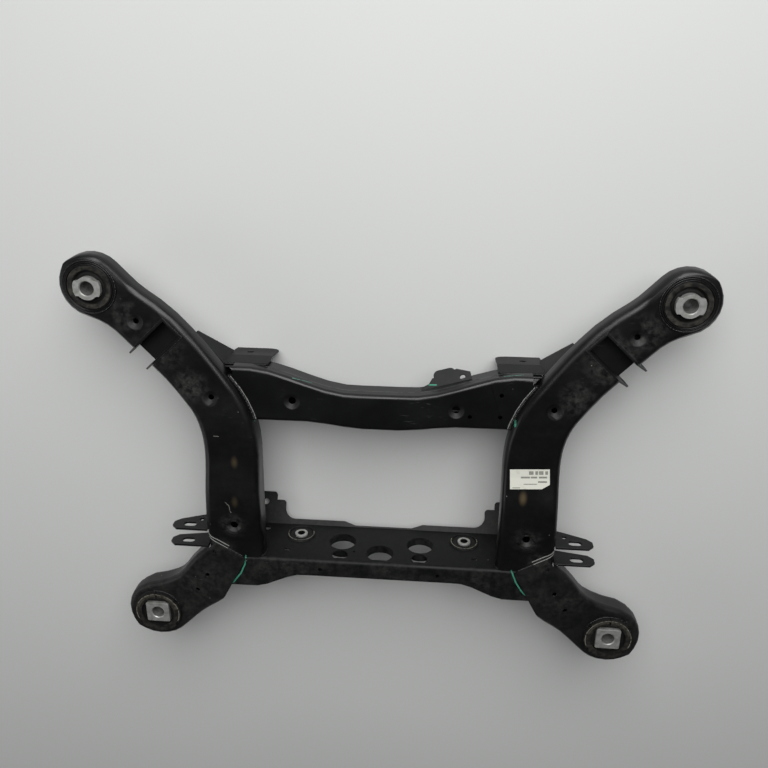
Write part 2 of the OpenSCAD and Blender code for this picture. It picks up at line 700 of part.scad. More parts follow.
module rear_rubber() {
  top = min(rear_high - fit_gap, core_top - head_t - fit_gap);
  seat = rear_high + fit_gap;
  color("#141516") difference() {
    rotate_extrude() polygon([
      [rubber_bore, rear_low], [rubber_r, rear_low], [rubber_r, seat], [flange_r, seat],
      [flange_r, seat + flange_t], [flange_in, seat + flange_t], [flange_in, top], [rubber_bore, top]]);
    for (t = [35, 145, 215, 325]) rotate([0, 0, t]) translate([flange_r, 0, seat - fit_gap])
      cylinder(r = 4, h = 2 * flange_t);
    translate([-1, flange_in - 1, seat + 1]) cube([2, flange_r, 2 * flange_t]);
  }
}
module at_front() {
  translate([front_mount_x, front_mount_y, 0]) children();
}
module at_rear() {
  translate([rear_mount_x, -rear_mount_y, 0]) children();
}
module front_housing() {
  color("#2a2c2e") at_front() tube(housing_r, housing_wall, front_low, front_high);
}
module rear_housing() {
  color("#2a2c2e") at_rear() tube(housing_r, housing_wall, rear_low, rear_high);
}
module front_sleeve() {
  color("#3a3d3f") at_front() tube(sleeve_r, sleeve_wall, front_low, front_high + 1);
}
module rear_sleeve() {
  color("#3a3d3f") at_rear() tube(sleeve_r, sleeve_wall, rear_low, rear_high);
}

// Differential bushes, on bolts that run along the vehicle
diff_front = 2.5;
diff_core_front = 0.5;
diff_rubber_in = 2;
module at_diff() {
  translate([diff_x, diff_front - panel_y, diff_z]) rotate([90, 0, 0]) children();
}
module diff_sleeve() {
  color("#2c2e30") at_diff() tube(diff_r, sleeve_wall, 0, diff_length);
}
module diff_rubber() {
  color("#121314") at_diff() tube(diff_r - sleeve_wall - fit_gap, diff_r - sleeve_wall - 2 * fit_gap - diff_core_r,
    diff_rubber_in, diff_length - diff_rubber_in);
}
module diff_core() {
  color("#c3c6c7") at_diff() tube(diff_core_r, diff_core_r - diff_bolt_d / 2, -diff_core_front, diff_length + 1);
}

// Ears for the lower links
ear_hole_d = 8;
ear_hole_in = 16;
ear_hole_down = 16;
ear_cut = 9;
ear_root_x = rail_x + rail_half + rail_flare + 6;
module ear_outline(slot, root) {
  tip = slot + ear_reach;
  top = ear_z + ear_tip / 2;
  low = ear_z - ear_tip / 2;
  polygon([
    [rail_x, top - root], [rail_x, top], [tip - ear_cut, top], [tip, top - ear_cut],
    [tip, low + ear_cut], [tip - ear_cut, low], [ear_root_x, top - root]]);
}
module slot_outline() {
  square([slot_l - slot_w, slot_w], center = true);
  for (k = [-1, 1]) translate([k * (slot_l - slot_w) / 2, 0]) circle(d = slot_w);
}
module ear(y, slot, root, with_hole) {
  color("#26282b") difference() {
    translate([0, y, 0]) rotate([90, 0, 0]) linear_extrude(plate) difference() {
      ear_outline(slot, root);
      translate([slot, ear_z]) slot_outline();
      if (with_hole) translate([slot - ear_hole_in, ear_z - ear_hole_down]) circle(d = ear_hole_d);
    }
    rail_room(fit_gap, -big, big);
    rear_room(fit_gap);
  }
}
module front_ear() {
  ear(-ear_y, slot_x, ear_root, true);
}
module rear_ear() {
  ear(-ear_y - plate - ear_gap, slot_x + ear_stagger, ear_root_rear, false);
}

// Tabs at the ends of the front crossmember, on which the frame's front end stands
tab_y = cross_front_end - sheet;
tab_high = cross_seam - fit_gap;
tab_len = (cross_low - sheet * sin(tab_angle)) / cos(tab_angle);
tab_corner = 22;
tab_hole_x = 229;
wing_from = 160;
wing_root_in = 4.2;
wing_high = arm_top - upper_wall - fit_gap;
wing_low = 45;
function wing_foot(s) = rail_point(s) - (rail_in(s) - sheet) * left_of(rail_heading(s));
module wing() {
  a = wing_foot(wing_from);
  b = [tab_out - wing_root_in, tab_y];
  run = b - a;
  translate([a[0], a[1], 0]) rotate([90, 0, atan2(run[1], run[0])]) linear_extrude(sheet)
    polygon([[0, wing_high - 8], [0, wing_high], [norm(run), wing_high], [norm(run), wing_low]]);
}
module right_tab() {
  w = tab_out - tab_in;
  root = 0.8 * sheet * tan(tab_angle / 2);
  color("#303335") difference() {
    union() {
      translate([tab_in, tab_y, cross_low - sheet / 2])
        cube([w, sheet, tab_high - cross_low + sheet / 2]);
      translate([tab_in, tab_y, cross_low]) rotate([-tab_angle, 0, 0]) rotate([90, 0, 0]) translate([0, 0, -sheet])
        linear_extrude(sheet) difference() {
          polygon([[edge_step, root], [w - edge_step, root], [w - edge_step, -tab_len], [edge_step, -tab_len]]);
          translate([0, -tab_len]) difference() {
            square(tab_corner);
            translate([tab_corner, tab_corner]) circle(r = tab_corner);
          }
          translate([tab_hole_x - tab_in, (tab_hole_z - cross_low) / cos(tab_angle)]) circle(d = tab_hole_d);
        }
      wing();
    }
    rail_room(-sheet, bend_low - fit_gap, big);
    cross_room();
  }
}

// Lobed bracket under the front crossmember's front face
lobe_w = 84;
lobe_lean = 45;
lobe_r = 9;
lobe_len = 29;
lobe_low = cross_seam - 15;
lobe_turn = atan((cross_front(lobe_x + lobe_w / 2) - cross_front(lobe_x - lobe_w / 2)) / lobe_w);
module lobed() {
  lap = cross_seam - fit_gap - lobe_low;
  color("#2e3133") difference() {
    translate([lobe_x, cross_front(lobe_x) - sheet, lobe_low]) rotate([0, 0, lobe_turn]) {
      translate([-lobe_w / 2, 0, -1]) cube([lobe_w, sheet, lap + 1]);
      rotate([lobe_lean, 0, 0]) rotate([90, 0, 0]) translate([0, 0, -sheet]) linear_extrude(sheet) difference() {
        union() {
          polygon([
            [-lobe_w / 2, 2], [-lobe_w / 2, -5], [-lobe_w / 3, -9], [-lobe_w / 4, -lobe_len * 0.6],
            [lobe_w / 4, -lobe_len * 0.85], [lobe_w / 2, -lobe_len / 2], [lobe_w / 2, 2]]);
          hull() for (x = [-lobe_w / 9, lobe_w / 9])
            translate([x, lobe_r - lobe_len]) circle(r = lobe_r);
        }
        translate([lobe_w / 3, -8]) circle(d = 9);
      }
    }
    cross_room();
  }
}

// The origin lies under the middle of the frame's outer box
middle_shift = (rear_mount_y + rear_boss_r - front_mount_y - front_boss_r) / 2;
module put() {
  translate([0, middle_shift, 0]) children();
}
module put_left() {
  put() mirror([1, 0, 0]) children();
}
put_left() right_rail_upper();  // left_rail_upper_shell
put() right_rail_upper();  // right_rail_upper_shell
put_left() right_rail_lower();  // left_rail_lower_shell
put() right_rail_lower();  // right_rail_lower_shell
put() front_crossmember_upper();  // front_crossmember_upper_shell
put() front_crossmember_lower();  // front_crossmember_lower_shell
put() rear_panel();  // rear_crossmember_panel
put() back_panel();  // rear_crossmember_back_panel
put_left() right_rear_arm_upper();  // left_rear_arm_upper_shell
put() right_rear_arm_upper();  // right_rear_arm_upper_shell
put_left() right_rear_arm_lower();  // left_rear_arm_lower_shell
put() right_rear_arm_lower();  // right_rear_arm_lower_shell
put_left() front_housing();  // left_front_bush_housing
put() front_housing();  // right_front_bush_housing
put_left() rear_housing();  // left_rear_bush_housing
put() rear_housing();  // right_rear_bush_housing
put_left() front_sleeve();  // left_front_bush_sleeve
put() front_sleeve();  // right_front_bush_sleeve
put_left() rear_sleeve();  // left_rear_bush_sleeve
put() rear_sleeve();  // right_rear_bush_sleeve
put_left() at_front() front_rubber();  // left_front_bush_rubber
put() at_front() front_rubber();  // right_front_bush_rubber
put_left() at_rear() rear_rubber();  // left_rear_bush_rubber
put() at_rear() rear_rubber();  // right_rear_bush_rubber
put_left() at_front() core(false);  // left_front_bush_core
put() at_front() core(false);  // right_front_bush_core
put_left() at_rear() core(true);  // left_rear_bush_core
put() at_rear() core(true);  // right_rear_bush_core
put_left() diff_sleeve();  // left_diff_bush_sleeve
put() diff_sleeve();  // right_diff_bush_sleeve
put_left() diff_rubber();  // left_diff_bush_rubber
put() diff_rubber();  // right_diff_bush_rubber
put_left() diff_core();  // left_diff_bush_core
put() diff_core();  // right_diff_bush_core
put_left() right_pocket();  // left_upper_link_pocket
put() right_pocket();  // right_upper_link_pocket
put_left() front_ear();  // left_front_ear
put() front_ear();  // right_front_ear
put_left() rear_ear();  // left_rear_ear
put() rear_ear();  // right_rear_ear
put_left() right_tab();  // left_front_tab
put() right_tab();  // right_front_tab
put() lobed();  // lobed_bracket
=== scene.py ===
# %% [markdown]
# # A rear-axle subframe, dressed in Blender
# The real object is a welded frame of pressed steel shells that carries a car's rear axle. It was dipped in
# black paint, driven for years, taken off and marked with a green pen. The exact solids come ready-made
# from the CAD frame, in metres. This lesson gives them their rolled edges, their welds and their finishes,
# and adds what is too fine for the solids: a paper label, pen strokes and scratches.

# %% Load the fixed frame
import math

import bmesh
import bpy
import numpy as np
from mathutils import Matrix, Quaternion, Vector
from mathutils.bvhtree import BVHTree


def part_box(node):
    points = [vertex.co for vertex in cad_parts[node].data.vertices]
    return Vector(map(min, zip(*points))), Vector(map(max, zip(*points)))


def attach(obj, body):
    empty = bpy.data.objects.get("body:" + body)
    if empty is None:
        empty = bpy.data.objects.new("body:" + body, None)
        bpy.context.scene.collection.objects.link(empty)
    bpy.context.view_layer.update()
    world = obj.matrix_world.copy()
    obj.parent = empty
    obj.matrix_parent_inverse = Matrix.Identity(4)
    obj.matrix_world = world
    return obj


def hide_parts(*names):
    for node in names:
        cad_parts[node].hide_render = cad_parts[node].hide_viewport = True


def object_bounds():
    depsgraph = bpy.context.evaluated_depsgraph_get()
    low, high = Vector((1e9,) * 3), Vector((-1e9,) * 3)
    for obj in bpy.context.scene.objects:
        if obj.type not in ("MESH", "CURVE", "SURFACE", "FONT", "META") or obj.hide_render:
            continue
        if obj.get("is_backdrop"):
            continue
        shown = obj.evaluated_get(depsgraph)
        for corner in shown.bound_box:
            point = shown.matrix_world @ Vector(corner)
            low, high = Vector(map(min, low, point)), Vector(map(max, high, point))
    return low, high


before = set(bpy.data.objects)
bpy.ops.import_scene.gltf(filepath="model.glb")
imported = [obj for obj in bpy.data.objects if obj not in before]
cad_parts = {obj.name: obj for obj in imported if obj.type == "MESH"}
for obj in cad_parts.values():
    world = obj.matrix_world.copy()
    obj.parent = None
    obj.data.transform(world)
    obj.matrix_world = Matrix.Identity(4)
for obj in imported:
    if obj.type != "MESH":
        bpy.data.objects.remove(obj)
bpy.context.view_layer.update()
scene = bpy.context.scene
MM = 0.001  # a millimetre in metres; lengths below are in millimetres unless a comment says otherwise
SIDES = (("left", -1), ("right", 1))  # and the sign of x on each

# %% [markdown]
# ## The camera
# It looks down on the frame from a little beyond its front end. A camera can be aimed with a Track To
# constraint, but here its turn was worked out from the bush positions, so it is written as one rotation
# vector: its direction is the axis and its length the angle.

# %% Camera
PICTURE = 768  # width and height of the picture, in pixels
LENS, SENSOR = 35.11, 36.0  # focal length and width of the sensor
eye = Vector((0.089, 0.615, 1.216))  # metres
turn = Vector((-22.54, 4.42, 1.33))  # degrees
look = Quaternion(turn.normalized(), math.radians(turn.length))
camera = bpy.data.objects.new("camera", bpy.data.cameras.new("camera"))
camera.data.lens, camera.data.sensor_width = LENS, SENSOR
camera.location = eye
camera.rotation_mode = "QUATERNION"
camera.rotation_quaternion = look
scene.collection.objects.link(camera)
scene.camera = camera
scene.view_settings.view_transform = "Standard"
print("camera: height", round(eye.z, 3), "m, turned", round(turn.length, 1), "degrees from straight down")

# %% [markdown]
# ## Helpers for every finish
# Colours are written as they look on a screen and turned to linear light by one function. A second one adds
# a node to a tree, sets it up and links what feeds it, which keeps each material readable from its source
# to its shader.

# %% Helpers for materials
def linear(code):
    channels = [int(code[i:i + 2], 16) / 255 for i in (1, 3, 5)]
    return [c / 12.92 if c <= 0.04045 else ((c + 0.055) / 1.055) ** 2.4 for c in channels] + [1.0]


def add(tree, kind, feeds=None, **settings):
    made = tree.nodes.new(kind)
    for key, value in settings.items():
        setattr(made, key, value)
    for key, value in (feeds or {}).items():
        if isinstance(value, bpy.types.NodeSocket):
            tree.links.new(value, made.inputs[key])
        else:
            made.inputs[key].default_value = value
    return made


def blank(name):
    material = bpy.data.materials.new(name)
    material.use_nodes = True
    material.node_tree.nodes.clear()
    return material, material.node_tree


def per_metre(millimetres):
    return 1000.0 / millimetres  # scale of a pattern whose features are this large


print("helpers: #808080 is", round(linear("#808080")[0], 3), "in linear light")

# %% [markdown]
# ## Floor and light
# The frame lies on a plain pale floor. One large soft lamp stands beyond the front end, so walls that face
# it turn grey while flat tops, which mirror the dim side, stay near black. Two weak ones and a faint sky
# keep the shadows open.

# %% Floor
FLOOR = 6.0  # half the side of the floor, in metres
FLOOR_CLOUD = 700  # size of the faint clouds on it
floor_mesh = bpy.data.meshes.new("floor")
square = [(-FLOOR, -FLOOR, 0), (FLOOR, -FLOOR, 0), (FLOOR, FLOOR, 0), (-FLOOR, FLOOR, 0)]
floor_mesh.from_pydata(square, [], [(0, 1, 2, 3)])
floor = bpy.data.objects.new("floor", floor_mesh)
scene.collection.objects.link(floor)
floor_paint, tree = blank("pale_matt_floor")
place = add(tree, "ShaderNodeTexCoord").outputs["Object"]
cloud = add(tree, "ShaderNodeTexNoise", {
    "Vector": place, "Scale": per_metre(FLOOR_CLOUD), "Detail": 3.0}).outputs["Fac"]
tone = add(tree, "ShaderNodeMix", {
    0: cloud, 6: linear("#d2d4d2"), 7: linear("#d9dad8")}, data_type="RGBA").outputs[2]
shader = add(tree, "ShaderNodeBsdfPrincipled", {
    "Base Color": tone, "Roughness": 0.7, "Specular IOR Level": 0.2})
add(tree, "ShaderNodeOutputMaterial", {"Surface": shader.outputs[0]})
floor_mesh.materials.append(floor_paint)
floor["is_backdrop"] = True
print("floor:", 2 * FLOOR, "m square")

# %% Lamps and world
AIM = Vector((0, 0, 0.1))  # what every lamp points at, in metres
LAMPS = {  # place and size in metres, power in watts
    "key_softbox": ((0.25, 1.9, 1.9), 2.2, 74.0),
    "overhead_softbox": ((-0.3, 1.5, 2.6), 1.6, 12.0),
    "side_fill": ((-2.2, -0.3, 1.2), 1.4, 6.0),
}
for name, (where, size, power) in LAMPS.items():
    lamp = bpy.data.lights.new(name, "AREA")
    lamp.shape, lamp.size, lamp.energy = "SQUARE", size, power
    stand = bpy.data.objects.new(name, lamp)
    stand.location = where
    stand.rotation_mode = "QUATERNION"
    stand.rotation_quaternion = (AIM - Vector(where)).to_track_quat("-Z", "Y")
    scene.collection.objects.link(stand)
world = bpy.data.worlds.new("dim_sky")
scene.world = world
world.use_nodes = True
sky = world.node_tree.nodes["Background"]
sky.inputs["Color"].default_value = linear("#f2f4f6")
sky.inputs["Strength"].default_value = 0.06
print("light:", len(LAMPS), "lamps of", sum(power for _, _, power in LAMPS.values()), "W in all")

# %% [markdown]
# ## Black dip paint
# The whole frame was dipped in a bath and baked: a thin satin coat, almost black, with a faint orange peel.
# Use has left road dust, fine scratches, pale specks and warm stains on it, and a duller coat in the
# pressed dimples. One tree would be long to read, so each of these layers has its own function, and the
# paint lays them over one another. All patterns read Object coordinates, which are metres in the frame, so
# their scales come from real sizes.

# %% What the layers of the paint read
CLOUD, MOTTLE, GRIT = 95, 11, 1.6  # how large the paint's broad, middling and fine unevenness is


def bearings(tree):
    place = add(tree, "ShaderNodeTexCoord").outputs["Object"]
    axes = add(tree, "ShaderNodeSeparateXYZ", {0: place}).outputs
    side = add(tree, "ShaderNodeMath", {0: axes["X"]}, operation="ABSOLUTE").outputs[0]
    normal = add(tree, "ShaderNodeNewGeometry").outputs["Normal"]
    cloud = add(tree, "ShaderNodeTexNoise", {
        "Vector": place, "Scale": per_metre(CLOUD), "Detail": 4.0}).outputs["Fac"]
    mottle = add(tree, "ShaderNodeTexNoise", {
        "Vector": place, "Scale": per_metre(MOTTLE), "Detail": 5.0, "Roughness": 0.65}).outputs["Fac"]
    return {
        "place": place,
        # Seen from above, as it is and with the left side folded onto the right
        "level": add(tree, "ShaderNodeCombineXYZ", {"X": axes["X"], "Y": axes["Y"]}).outputs[0],
        "folded": add(tree, "ShaderNodeCombineXYZ", {"X": side, "Y": axes["Y"]}).outputs[0],
        "up": add(tree, "ShaderNodeSeparateXYZ", {0: normal}).outputs["Z"],
        "cloud": cloud,
        "wide": add(tree, "ShaderNodeMapRange", {0: cloud, 1: 0.35, 2: 0.7, 3: 0.35}).outputs[0],
        "mottle": mottle,
    }


print("paint: uneven at", CLOUD, "mm,", MOTTLE, "mm and", GRIT, "mm")

# %% [markdown]
# ## Road dust
# Dust clings to flat tops near the front bolts and on the rear arms. A painted mask would do, but it would
# need a picture, so a thin even haze and a few round patches are broken up by the paint's own mottling and
# by a finer grain, and thinned where the metal stands steep.

# %% Dust layer
DUSTY = [  # where dust has settled on both sides: x, y and radius
    (398, 262, 42), (352, 216, 60), (305, 150, 40), (246, -98, 34), (275, -150, 34), (330, -232, 60),
]
PAINTED_SHADE_DISC = (373, 267, 19)  # a shallow dish beside each front bush: painted shade, made by leaving the dust out of it
DUST_GRAIN = 4.5  # size of the dust's finer grain


def round_patch(tree, flat, x, y, outer, inner, strength):
    near = add(tree, "ShaderNodeVectorMath", {
        0: flat, 1: (x * MM, y * MM, 0)}, operation="DISTANCE").outputs["Value"]
    return add(tree, "ShaderNodeMapRange", {
        0: near, 1: outer * MM, 2: inner * MM, 3: 0.0, 4: strength},
        interpolation_type="SMOOTHSTEP").outputs[0]


def road_dust(tree, at, dust, haze):
    settled = haze
    for x, y, reach in DUSTY:
        patch = round_patch(tree, at["folded"], x, y, reach, 0.2 * reach, dust)
        settled = add(tree, "ShaderNodeMath", {0: settled, 1: patch}, operation="MAXIMUM").outputs[0]
    # Painted shade: no dust inside the dish beside each front bush, so it stays dark
    x, y, reach = PAINTED_SHADE_DISC
    near = add(tree, "ShaderNodeVectorMath", {
        0: at["folded"], 1: (x * MM, y * MM, 0)}, operation="DISTANCE").outputs["Value"]
    beyond = add(tree, "ShaderNodeMapRange", {0: near, 1: 0.7 * reach * MM, 2: reach * MM}).outputs[0]
    speckle = add(tree, "ShaderNodeTexNoise", {
        "Vector": at["place"], "Scale": per_metre(DUST_GRAIN),
        "Detail": 6.0, "Roughness": 0.75}).outputs["Fac"]
    grain = add(tree, "ShaderNodeMapRange", {0: speckle, 1: 0.3, 2: 0.68, 3: 0.3}).outputs[0]
    lying = add(tree, "ShaderNodeMapRange", {
        0: at["up"], 1: -0.1, 2: 0.9, 3: 0.2}, interpolation_type="SMOOTHSTEP").outputs[0]
    share = add(tree, "ShaderNodeMapRange", {0: at["mottle"], 1: 0.38, 2: 0.66}).outputs[0]
    for factor in (grain, at["wide"], lying, settled, beyond):
        share = add(tree, "ShaderNodeMath", {0: share, 1: factor}, operation="MULTIPLY").outputs[0]
    return share


print("dust:", len(DUSTY), "patches on each side")

# %% [markdown]
# ## Scratches, specks and stains
# Handling leaves fine scratches on level faces, chips leave pale specks, and three warm stains have dried
# on the rails. Scratches are a noise stretched along one direction, specks sit in the cells of a Voronoi
# pattern, and each stain is an oval about its own place.

# %% Marks in the paint
SCRATCH_SCALE = (60, 650, 60)  # per metre: drawn 1.5 mm wide, coarser than real ones, so that they show
SCRATCH_TURN = 0.5  # radians
SPECK_CELL = 19  # one cell in five holds a dot under 1 mm in radius
STAINS = [  # warm stains on one rail or the other: x, y, radius and strength
    (234.5, -19, 9, 0.55), (-240, 19, 8, 0.28), (-241, -50, 8, 0.2),
]
OVAL = (1.0, 0.55, 0)  # squeezes a circle, so that a stain is longer along the rail


def fine_scratches(tree, at):
    brushed = add(tree, "ShaderNodeMapping", {
        "Vector": at["place"], "Rotation": (0, 0, SCRATCH_TURN), "Scale": SCRATCH_SCALE}).outputs[0]
    streak = add(tree, "ShaderNodeTexNoise", {"Vector": brushed, "Scale": 1.0, "Detail": 1.0}).outputs["Fac"]
    share = add(tree, "ShaderNodeMapRange", {0: streak, 1: 0.69, 2: 0.76}).outputs[0]
    handled = add(tree, "ShaderNodeMapRange", {0: at["cloud"], 1: 0.52, 2: 0.62}).outputs[0]
    level_only = add(tree, "ShaderNodeMapRange", {0: at["up"], 1: 0.6, 2: 0.9}).outputs[0]
    for factor in (handled, level_only):
        share = add(tree, "ShaderNodeMath", {0: share, 1: factor}, operation="MULTIPLY").outputs[0]
    return share


def pale_specks(tree, at):
    cells = add(tree, "ShaderNodeTexVoronoi", {"Vector": at["place"], "Scale": per_metre(SPECK_CELL)}).outputs
    dot = add(tree, "ShaderNodeMapRange", {0: cells["Distance"], 1: 0.05, 2: 0.025}).outputs[0]
    chance = add(tree, "ShaderNodeSeparateColor", {0: cells["Color"]}).outputs[0]
    chosen = add(tree, "ShaderNodeMath", {0: chance, 1: 0.8}, operation="GREATER_THAN").outputs[0]
    return add(tree, "ShaderNodeMath", {0: dot, 1: chosen}, operation="MULTIPLY").outputs[0]


def dried_stain(tree, at, x, y, reach, strength):
    oval = add(tree, "ShaderNodeVectorMath", {
        0: at["place"], 1: (x * MM, y * MM, 0)}, operation="SUBTRACT").outputs[0]
    oval = add(tree, "ShaderNodeVectorMath", {0: oval, 1: OVAL}, operation="MULTIPLY").outputs[0]
    near = add(tree, "ShaderNodeVectorMath", {0: oval}, operation="LENGTH").outputs["Value"]
    return add(tree, "ShaderNodeMapRange", {
        0: near, 1: reach * MM, 2: 0, 3: 0.0, 4: strength}, interpolation_type="SMOOTHSTEP").outputs[0]


print("marks:", len(STAINS), "stains, and specks in cells of", SPECK_CELL, "mm")

# %% [markdown]
# ## The whole coat
# The layers are mixed over the black one after another. Dust also dulls the gloss, and so does the dirt in
# the dimples. A weak bump gives the orange peel. Each group of pieces has its own coat, because the road
# and handling have dulled them differently.

# %% Dip paint
DIMPLES = [  # middles of the pressed dimples: x and y
    (385, 253), (-385, 253), (275, 128), (-275, 128), (252, -113), (-252, -113), (121, 118), (-144, 123),
]
DIMPLE = 16  # radius of a dimple
DUST, STAIN, SCRATCH, SPECK = "#6d6d69", "#6b5d44", "#3c3d3c", "#8c8b86"
PAINTS = {  # darkest and palest tone, settled dust, roughness, even haze of dust, specular level
    "rails": ("#050506", "#0a0a0b", 0.5, 0.27, 0.03, 0.45),
    "crossmember": ("#050505", "#090a0a", 0.26, 0.27, 0.016, 0.48),
    "rear_panel": ("#070808", "#0e0f0f", 0.4, 0.44, 0.2, 0.22),
    "rear_arms": ("#090a0a", "#121312", 0.3, 0.35, 0.16, 0.4),
    "brackets": ("#0a0b0b", "#121313", 0.28, 0.34, 0.06, 0.36),
    "tabs": ("#0a0b0b", "#121313", 0.28, 0.48, 0.08, 0.2),
    "pockets": ("#060607", "#0b0b0b", 0.03, 0.36, 0.02, 0.4),
}


def dip_paint(name, dark, pale, dust, shine, haze, gloss):
    material, tree = blank(name)
    at = bearings(tree)
    dusty = road_dust(tree, at, dust, haze)
    layers = [(dusty, DUST)] + [(dried_stain(tree, at, *stain), STAIN) for stain in STAINS]
    layers += [(fine_scratches(tree, at), SCRATCH), (pale_specks(tree, at), SPECK)]
    tone = add(tree, "ShaderNodeMix", {
        0: at["wide"], 6: linear(dark), 7: linear(pale)}, data_type="RGBA").outputs[2]
    for share, colour in layers:
        tone = add(tree, "ShaderNodeMix", {
            0: share, 6: tone, 7: linear(colour)}, data_type="RGBA").outputs[2]
    rough = add(tree, "ShaderNodeMapRange", {
        0: at["cloud"], 1: 0.3, 2: 0.7, 3: shine, 4: shine + 0.14}).outputs[0]
    rough = add(tree, "ShaderNodeMath", {0: dusty, 1: 0.5, 2: rough}, operation="MULTIPLY_ADD").outputs[0]
    for x, y in DIMPLES:
        dull = round_patch(tree, at["level"], x, y, DIMPLE, 0.7 * DIMPLE, 0.6)
        rough = add(tree, "ShaderNodeMath", {0: rough, 1: dull}, operation="MAXIMUM").outputs[0]
    grit = add(tree, "ShaderNodeTexNoise", {
        "Vector": at["place"], "Scale": per_metre(GRIT), "Detail": 2.0}).outputs["Fac"]
    height = add(tree, "ShaderNodeMath", {
        0: at["mottle"], 1: 0.6, 2: grit}, operation="MULTIPLY_ADD").outputs[0]
    bump = add(tree, "ShaderNodeBump", {"Height": height, "Strength": 0.25, "Distance": 0.3 * MM}).outputs[0]
    shader = add(tree, "ShaderNodeBsdfPrincipled", {
        "Base Color": tone, "Roughness": rough, "Normal": bump, "IOR": 1.5, "Specular IOR Level": gloss})
    add(tree, "ShaderNodeOutputMaterial", {"Surface": shader.outputs[0]})
    print("paint:", name, "with", len(tree.nodes), "nodes")
    return material


paint = {group: dip_paint("black_dip_paint_" + group, *values) for group, values in PAINTS.items()}

# %% [markdown]
# ## Rubber
# The bushes are moulded natural rubber filled with carbon black. It is dull, slightly grey where it has
# dried, and road dust sits brown on its upper faces, so the colour follows a fine mottling and the height
# of the surface.

# %% Rubber
RUBBER_MOTTLE, RUBBER_GRAIN = 7, 0.9  # sizes of its mottling and of its grain


def top_of(node):
    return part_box(node)[1].z / MM


def moulded_rubber(name, dust, level):
    material, tree = blank(name)
    place = add(tree, "ShaderNodeTexCoord").outputs["Object"]
    normal = add(tree, "ShaderNodeNewGeometry").outputs["Normal"]
    up = add(tree, "ShaderNodeSeparateXYZ", {0: normal}).outputs["Z"]
    height = add(tree, "ShaderNodeSeparateXYZ", {0: place}).outputs["Z"]
    # The top millimetre holds all its dust, and 4 mm below the top there is little left
    high = add(tree, "ShaderNodeMapRange", {
        0: height, 1: (level - 4) * MM, 2: (level - 1) * MM, 3: 0.1}).outputs[0]
    mottle = add(tree, "ShaderNodeTexNoise", {
        "Vector": place, "Scale": per_metre(RUBBER_MOTTLE), "Detail": 5.0}).outputs["Fac"]
    grain = add(tree, "ShaderNodeTexNoise", {
        "Vector": place, "Scale": per_metre(RUBBER_GRAIN), "Detail": 2.0}).outputs["Fac"]
    lying = add(tree, "ShaderNodeMapRange", {0: up, 1: 0.3, 2: 1.0, 3: 0.15, 4: 1.0}).outputs[0]
    share = add(tree, "ShaderNodeMapRange", {0: mottle, 1: 0.4, 2: 0.72, 3: 0.0, 4: dust}).outputs[0]
    for factor in (lying, high):
        share = add(tree, "ShaderNodeMath", {0: share, 1: factor}, operation="MULTIPLY").outputs[0]
    tone = add(tree, "ShaderNodeMix", {
        0: share, 6: linear("#0a0a09"), 7: linear("#57534a")}, data_type="RGBA").outputs[2]
    rough = add(tree, "ShaderNodeMapRange", {0: mottle, 1: 0.3, 2: 0.7, 3: 0.62, 4: 0.8}).outputs[0]
    bump = add(tree, "ShaderNodeBump", {"Height": grain, "Strength": 0.3, "Distance": 0.2 * MM}).outputs[0]
    shader = add(tree, "ShaderNodeBsdfPrincipled", {
        "Base Color": tone, "Roughness": rough, "Normal": bump, "IOR": 1.52, "Specular IOR Level": 0.35})
    add(tree, "ShaderNodeOutputMaterial", {"Surface": shader.outputs[0]})
    print("rubber:", name, "with its top at", round(level, 1), "mm")
    return material


front_rubber = moulded_rubber("carbon_black_rubber", dust=0.5, level=top_of("right_front_bush_rubber"))
rear_rubber = moulded_rubber("carbon_black_rubber_dusty", dust=0.3, level=top_of("right_rear_bush_rubber"))

# %% [markdown]
# ## Turned steel cores
# The bolt sits in a core of turned bare steel, greyed by the road. Lathe rings show on its face, so the
# distance from the bush's own axis drives a ring pattern. The frame is symmetrical, so one material serves
# a left and a right core: it reads the distance of x from the middle. The walls of the bolt holes are
# painted near black, as painted shade.

# %% Turned cores
BODY_BORE, DIFF_BORE = 10.5, 6.25  # radius of the bolt holes
RING = 1.1  # spacing of the lathe rings, drawn coarser than real ones, so that they show
CORE_STAIN = 9  # size of the grey stains on a core


def middle_of(node):
    low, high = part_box(node)
    return (low + high) / 2 / MM


